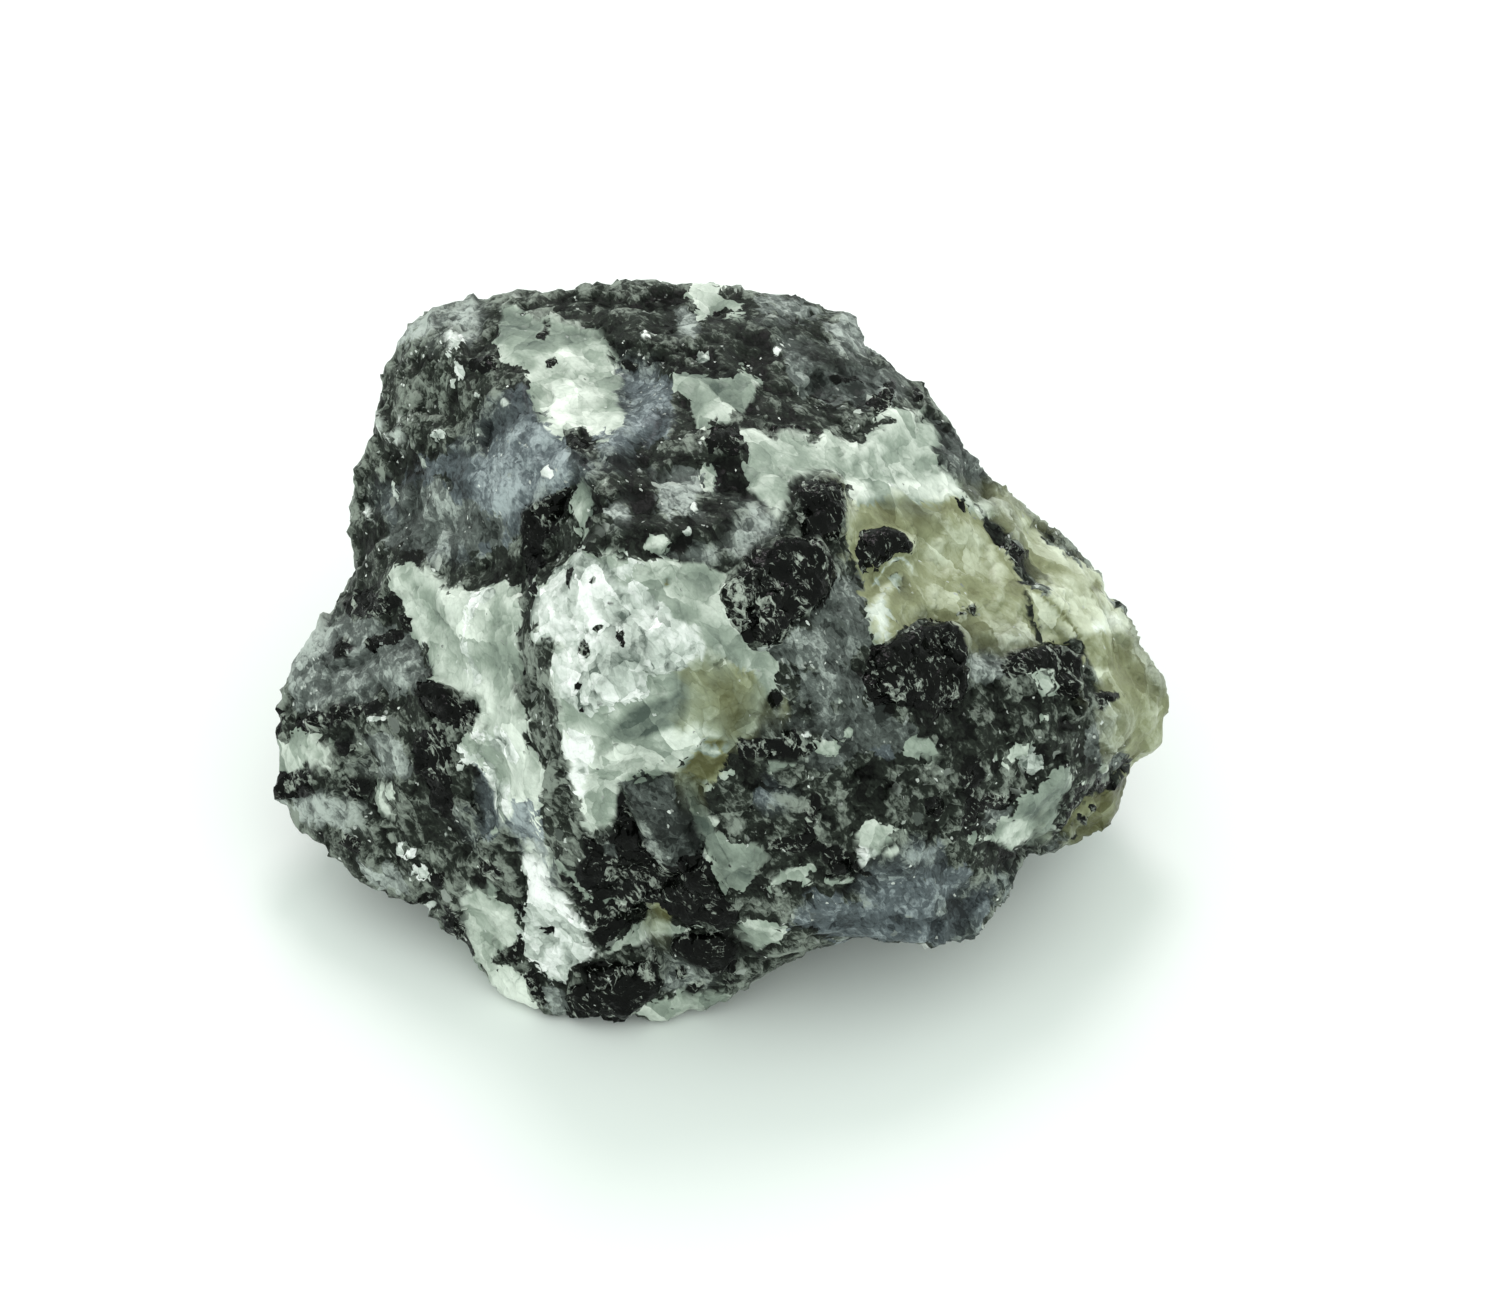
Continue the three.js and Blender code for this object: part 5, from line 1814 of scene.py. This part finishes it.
@dataclass(frozen=True)
class BrokenRelief:
    """Ledges, steps and grains that break up the stone's faces, in metres."""

    ledge_size: float = 5.5 * MM
    ledge_height: float = 1.7 * MM
    step_size: float = 2.2 * MM
    step_height: float = 0.65 * MM
    grain_size: float = 1.1 * MM
    grain_height: float = 0.1 * MM
    crystal_size: float = 5.0 * MM
    cleavage_pitch: float = 1.7 * MM
    cleavage_height: float = 0.35 * MM
    base_fade: float = 1.5 * MM
    seed: int = 5
    seed_stride: tuple[float, float, float] = (0.31, 0.17, 0.23)

    def tree(self) -> bpy.types.NodeTree:
        """Builds the Geometry Nodes tree.

        Returns:
            The tree, with a named input for each size.
        """
        tree = bpy.data.node_groups.new("broken relief", "GeometryNodeTree")
        tree.interface.new_socket("Geometry", in_out="INPUT", socket_type="NodeSocketGeometry")
        for name in self.inputs():
            tree.interface.new_socket(name, in_out="INPUT", socket_type="NodeSocketFloat")
        tree.interface.new_socket("Material", in_out="INPUT", socket_type="NodeSocketMaterial")
        tree.interface.new_socket("Geometry", in_out="OUTPUT", socket_type="NodeSocketGeometry")
        bench = NodeBench(tree)
        given = bench.node("NodeGroupInput").outputs
        position = bench.node("GeometryNodeInputPosition").outputs[0]
        place = bench.vector("ADD", position, bench.vector("SCALE", self.seed_stride, given["Seed"]))
        bent = bench.vector("ADD", place, bench.drift(place, given["Step size"], given["Step size"]))
        ledges = self.faces(bench, bent, given["Ledge size"], given["Ledge height"])
        steps = self.faces(bench, bent, given["Step size"], given["Step height"])
        noise = bench.noise(place, given["Grain size"], 1).outputs[0]
        grains = bench.math("MULTIPLY", bench.centred(noise, 1.0), given["Grain height"])
        broken = bench.total(ledges, steps, grains)
        broken = bench.math("MULTIPLY", broken, self.attribute(bench, Layer.LEDGES))
        parallel = bench.stepped(bent, given["Crystal size"], given["Cleavage pitch"])
        parallel = bench.math("MULTIPLY", parallel, given["Cleavage height"])
        broken = bench.math("MULTIPLY_ADD", parallel, self.attribute(bench, Layer.CLEAVAGE), broken)
        lift = bench.math("MULTIPLY", self.attribute(bench, Layer.LIFT), MM)
        split = bench.node("ShaderNodeSeparateXYZ")
        bench.feed(split.inputs[0], position)
        clear = bench.rise(split.outputs[2], 0.0, given["Base fade"])
        height = bench.math("MULTIPLY", bench.total(broken, lift), clear)
        normal = bench.node("GeometryNodeInputNormal").outputs[0]
        moved = bench.node("GeometryNodeSetPosition")
        bench.feed(moved.inputs["Geometry"], given["Geometry"])
        bench.feed(moved.inputs["Offset"], bench.vector("SCALE", normal, height))
        rested = self.kept_above_base(bench, moved.outputs[0])
        real = bench.node("GeometryNodeRealizeInstances")
        bench.feed(real.inputs[0], rested)
        dressed = bench.node("GeometryNodeSetMaterial")
        bench.feed(dressed.inputs["Geometry"], real.outputs[0])
        bench.feed(dressed.inputs["Material"], given["Material"])
        bench.feed(bench.node("NodeGroupOutput").inputs[0], dressed.outputs[0])
        return tree

    def faces(self, bench: NodeBench, place: Socket, size: Socket, height: Socket) -> Socket:
        """Height of broken faces of one size.

        Args:
            bench: The tree's nodes.
            place: Where to read it.
            size: The size of a face.
            height: How far a face tilts from one side to the other.

        Returns:
            The height.
        """
        return bench.math("MULTIPLY", bench.tilted(bench.cells(place, size), place, size), height)

    def inputs(self) -> dict[str, float]:
        """The tree's named sizes and their values."""
        return {
            "Ledge size": self.ledge_size,
            "Ledge height": self.ledge_height,
            "Step size": self.step_size,
            "Step height": self.step_height,
            "Grain size": self.grain_size,
            "Grain height": self.grain_height,
            "Crystal size": self.crystal_size,
            "Cleavage pitch": self.cleavage_pitch,
            "Cleavage height": self.cleavage_height,
            "Base fade": self.base_fade,
            "Seed": float(self.seed),
        }

    def attribute(self, bench: NodeBench, layer: Layer) -> Socket:
        """One of the mesh's attributes.

        Args:
            bench: The tree's nodes.
            layer: The attribute.

        Returns:
            Its value at each point.
        """
        made = bench.node("GeometryNodeInputNamedAttribute", data_type="FLOAT")
        made.inputs["Name"].default_value = layer.value
        return made.outputs["Attribute"]

    def kept_above_base(self, bench: NodeBench, geometry: Socket) -> Socket:
        """Lifts every point that fell below the resting surface back onto it.

        Args:
            bench: The tree's nodes.
            geometry: The mesh.

        Returns:
            The mesh with no point below zero.
        """
        split = bench.node("ShaderNodeSeparateXYZ")
        bench.feed(split.inputs[0], bench.node("GeometryNodeInputPosition").outputs[0])
        joined = bench.node("ShaderNodeCombineXYZ")
        bench.feed(joined.inputs[0], split.outputs[0])
        bench.feed(joined.inputs[1], split.outputs[1])
        bench.feed(joined.inputs[2], bench.math("MAXIMUM", split.outputs[2], 0.0))
        moved = bench.node("GeometryNodeSetPosition")
        bench.feed(moved.inputs["Geometry"], geometry)
        bench.feed(moved.inputs["Position"], joined.outputs[0])
        return moved.outputs[0]

    def apply(self, piece: bpy.types.Object, material: bpy.types.Material) -> None:
        """Breaks up a piece's surface and leaves it as a plain mesh.

        Args:
            piece: The piece, whose mesh has the map's attributes.
            material: The material that it gets.
        """
        modifier = piece.modifiers.new("broken relief", "NODES")
        modifier.node_group = self.tree()
        values = {**self.inputs(), "Material": material}
        for item in modifier.node_group.interface.items_tree:
            if item.in_out == "INPUT" and item.name in values:
                modifier[item.identifier] = values[item.name]
        settle(piece)


def settle(piece: bpy.types.Object) -> None:
    """Turns a piece with modifiers into a plain mesh.

    Args:
        piece: The piece. Its modifiers are removed.
    """
    graph = bpy.context.evaluated_depsgraph_get()
    settled = bpy.data.meshes.new_from_object(piece.evaluated_get(graph), depsgraph=graph)
    piece.modifiers.clear()
    piece.data = settled


@dataclass(frozen=True)
class Rock:
    """The stone, made from its solid.

    facing_spread is how often the facing is evened out, and turned_away the facings between which the seen
    side takes over from the hidden one. Each of crest_scales is how often a surface is evened out, and how
    far a full crest stands out from it.
    """

    sight: Sight
    node: str = "rock"
    slot: str = "stone"
    body: str = "root"
    weld_distance: float = 0.001 * MM
    mesh_size: float = 0.5 * MM
    smoothing: int = 1
    facing_spread: int = 12
    turned_away: tuple[float, float] = (-0.45, -0.1)
    crest_scales: tuple[tuple[int, float], ...] = ((6, 0.25 * MM), (60, 1.2 * MM))

    def build(self) -> bpy.types.Object:
        """Makes the stone and dresses it.

        Returns:
            The finished piece.
        """
        piece = self.fine_mesh()
        mesh = piece.data
        points = column(mesh.vertices, "co")
        minerals = SeenSide(self.sight).map(points)
        hidden = 1 - smooth_step(*self.turned_away, self.facing(mesh))
        minerals.merge(HiddenSide().map(points), hidden)
        minerals.store(mesh)
        BrokenRelief().apply(piece, StoneFinish().material())
        piece.data.shade_smooth()
        # The crest measure paints highlight on crests and shade in crevices into the colour.
        store(piece.data, Layer.CREST.value, self.crests(piece.data))
        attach(piece, self.body)
        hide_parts(self.node)
        return piece

    def fine_mesh(self) -> bpy.types.Object:
        """A copy of the solid with small even faces and softened edges.

        Returns:
            The copy.
        """
        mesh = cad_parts[self.node].data.copy()
        mesh.materials.clear()
        work = bmesh.new()
        work.from_mesh(mesh)
        bmesh.ops.remove_doubles(work, verts=work.verts, dist=self.weld_distance)
        work.to_mesh(mesh)
        work.free()
        piece = bpy.data.objects.new("broken_stone", mesh)
        bpy.context.scene.collection.objects.link(piece)
        remesh = piece.modifiers.new("even faces", "REMESH")
        remesh.mode = "VOXEL"
        remesh.voxel_size = self.mesh_size
        soften = piece.modifiers.new("soft edges", "SMOOTH")
        soften.iterations = self.smoothing
        settle(piece)
        return piece

    def facing(self, mesh: bpy.types.Mesh) -> np.ndarray:
        """How far each point faces the sight line.

        Args:
            mesh: The stone's mesh.

        Returns:
            From -1 for facing away to 1 for facing the viewer, evened out between neighbours.
        """
        value = column(mesh.vertex_normals, "vector") @ np.array(self.sight.near)
        return evened(mesh, value[:, None], self.facing_spread)[:, 0]

    def crests(self, mesh: bpy.types.Mesh) -> np.ndarray:
        """How far each point stands out from the surface around it.

        Args:
            mesh: The stone's mesh.

        Returns:
            From -1 in a crevice to 1 on a crest.
        """
        points = column(mesh.vertices, "co")
        normals = column(mesh.vertex_normals, "vector")
        total = np.zeros(len(points))
        for rounds, height in self.crest_scales:
            points_around = evened(mesh, points, rounds)
            total += np.sum((points - points_around) * normals, axis=1) / height
        return np.clip(total, -1, 1)


def column(items: bpy.types.bpy_prop_collection, name: str) -> np.ndarray:
    """Reads a vector of every item of a mesh.

    Args:
        items: The mesh's vertices or normals.
        name: The vector's name.

    Returns:
        One row of three numbers for each item.
    """
    flat = np.empty(len(items) * 3)
    items.foreach_get(name, flat)
    return flat.reshape(-1, 3)


def store(mesh: bpy.types.Mesh, name: str, values: np.ndarray) -> None:
    """Writes one number for each point of a mesh.

    Args:
        mesh: The mesh.
        name: The attribute's name.
        values: The numbers.
    """
    attribute = mesh.attributes.new(name, "FLOAT", "POINT")
    attribute.data.foreach_set("value", values.astype(np.float32))


def evened(mesh: bpy.types.Mesh, values: np.ndarray, rounds: int) -> np.ndarray:
    """Evens out values between neighbouring points.

    Args:
        mesh: The mesh that joins the points.
        values: One row for each point.
        rounds: How often each point takes its neighbours' mean.

    Returns:
        The evened rows.
    """
    ends = np.empty(len(mesh.edges) * 2, np.int32)
    mesh.edges.foreach_get("vertices", ends)
    first, second = ends.reshape(-1, 2).T
    count = len(values)
    links = np.bincount(first, minlength=count) + np.bincount(second, minlength=count)
    result = values.copy()
    for _ in range(rounds):
        for axis in range(values.shape[1]):
            line = result[:, axis]
            gathered = np.bincount(first, line[second], count) + np.bincount(second, line[first], count)
            result[:, axis] = gathered / np.maximum(links, 1)
    return result


@dataclass(frozen=True)
class Studio:
    """A pale floor, a soft lamp behind the stone and even light all round."""

    floor_half: float = 2.0
    floor_colour: Colour = (244, 246, 245)
    floor_roughness: float = 0.9
    floor_specular: float = 0.1
    lamp_elevation: float = 58.0
    lamp_distance: float = 600 * MM
    lamp_size: float = 190 * MM
    lamp_power: float = 1.0
    lamp_colour: tuple[float, float, float] = (1.0, 0.9, 0.95)
    sky_colour: tuple[float, float, float, float] = (0.91, 1.0, 0.94, 1.0)
    sky_strength: float = 1.13

    def build(self) -> None:
        """Makes the floor, the lamp and the sky."""
        self.floor()
        self.lamp()
        self.sky()
        bpy.context.scene.view_settings.view_transform = "Standard"

    def floor(self) -> None:
        """Makes the floor."""
        half = self.floor_half
        mesh = bpy.data.meshes.new("floor")
        corners = [(-half, -half, 0), (half, -half, 0), (half, half, 0), (-half, half, 0)]
        mesh.from_pydata(corners, [], [range(len(corners))])
        paint = bpy.data.materials.new("pale floor")
        paint.use_nodes = True
        shader = paint.node_tree.nodes["Principled BSDF"]
        shader.inputs["Base Color"].default_value = linear(self.floor_colour)
        shader.inputs["Roughness"].default_value = self.floor_roughness
        shader.inputs["Specular IOR Level"].default_value = self.floor_specular
        mesh.materials.append(paint)
        piece = bpy.data.objects.new("floor", mesh)
        bpy.context.scene.collection.objects.link(piece)

    def lamp(self) -> None:
        """Makes the lamp, which points at the stone from behind."""
        data = bpy.data.lights.new("lamp", "AREA")
        data.shape = "DISK"
        data.size = self.lamp_size
        data.energy = self.lamp_power
        data.color = self.lamp_colour
        height = math.radians(self.lamp_elevation)
        towards = Vector((0, math.cos(height), math.sin(height)))
        piece = bpy.data.objects.new("lamp", data)
        piece.location = towards * self.lamp_distance
        piece.rotation_euler = towards.to_track_quat("Z", "Y").to_euler()
        bpy.context.scene.collection.objects.link(piece)

    def sky(self) -> None:
        """Makes the even light all round."""
        world = bpy.data.worlds.new("soft sky")
        world.use_nodes = True
        light = world.node_tree.nodes["Background"]
        light.inputs["Color"].default_value = self.sky_colour
        light.inputs["Strength"].default_value = self.sky_strength
        bpy.context.scene.world = world


def main() -> None:
    """Builds the stone, the studio and the camera."""
    logging.basicConfig(level=logging.INFO)
    sight = Sight()
    bpy.context.scene.camera = sight.camera()
    Studio().build()
    piece = Rock(sight).build()
    LOG.info("%s has %d faces", piece.name, len(piece.data.polygons))


if __name__ == "__main__":
    main()
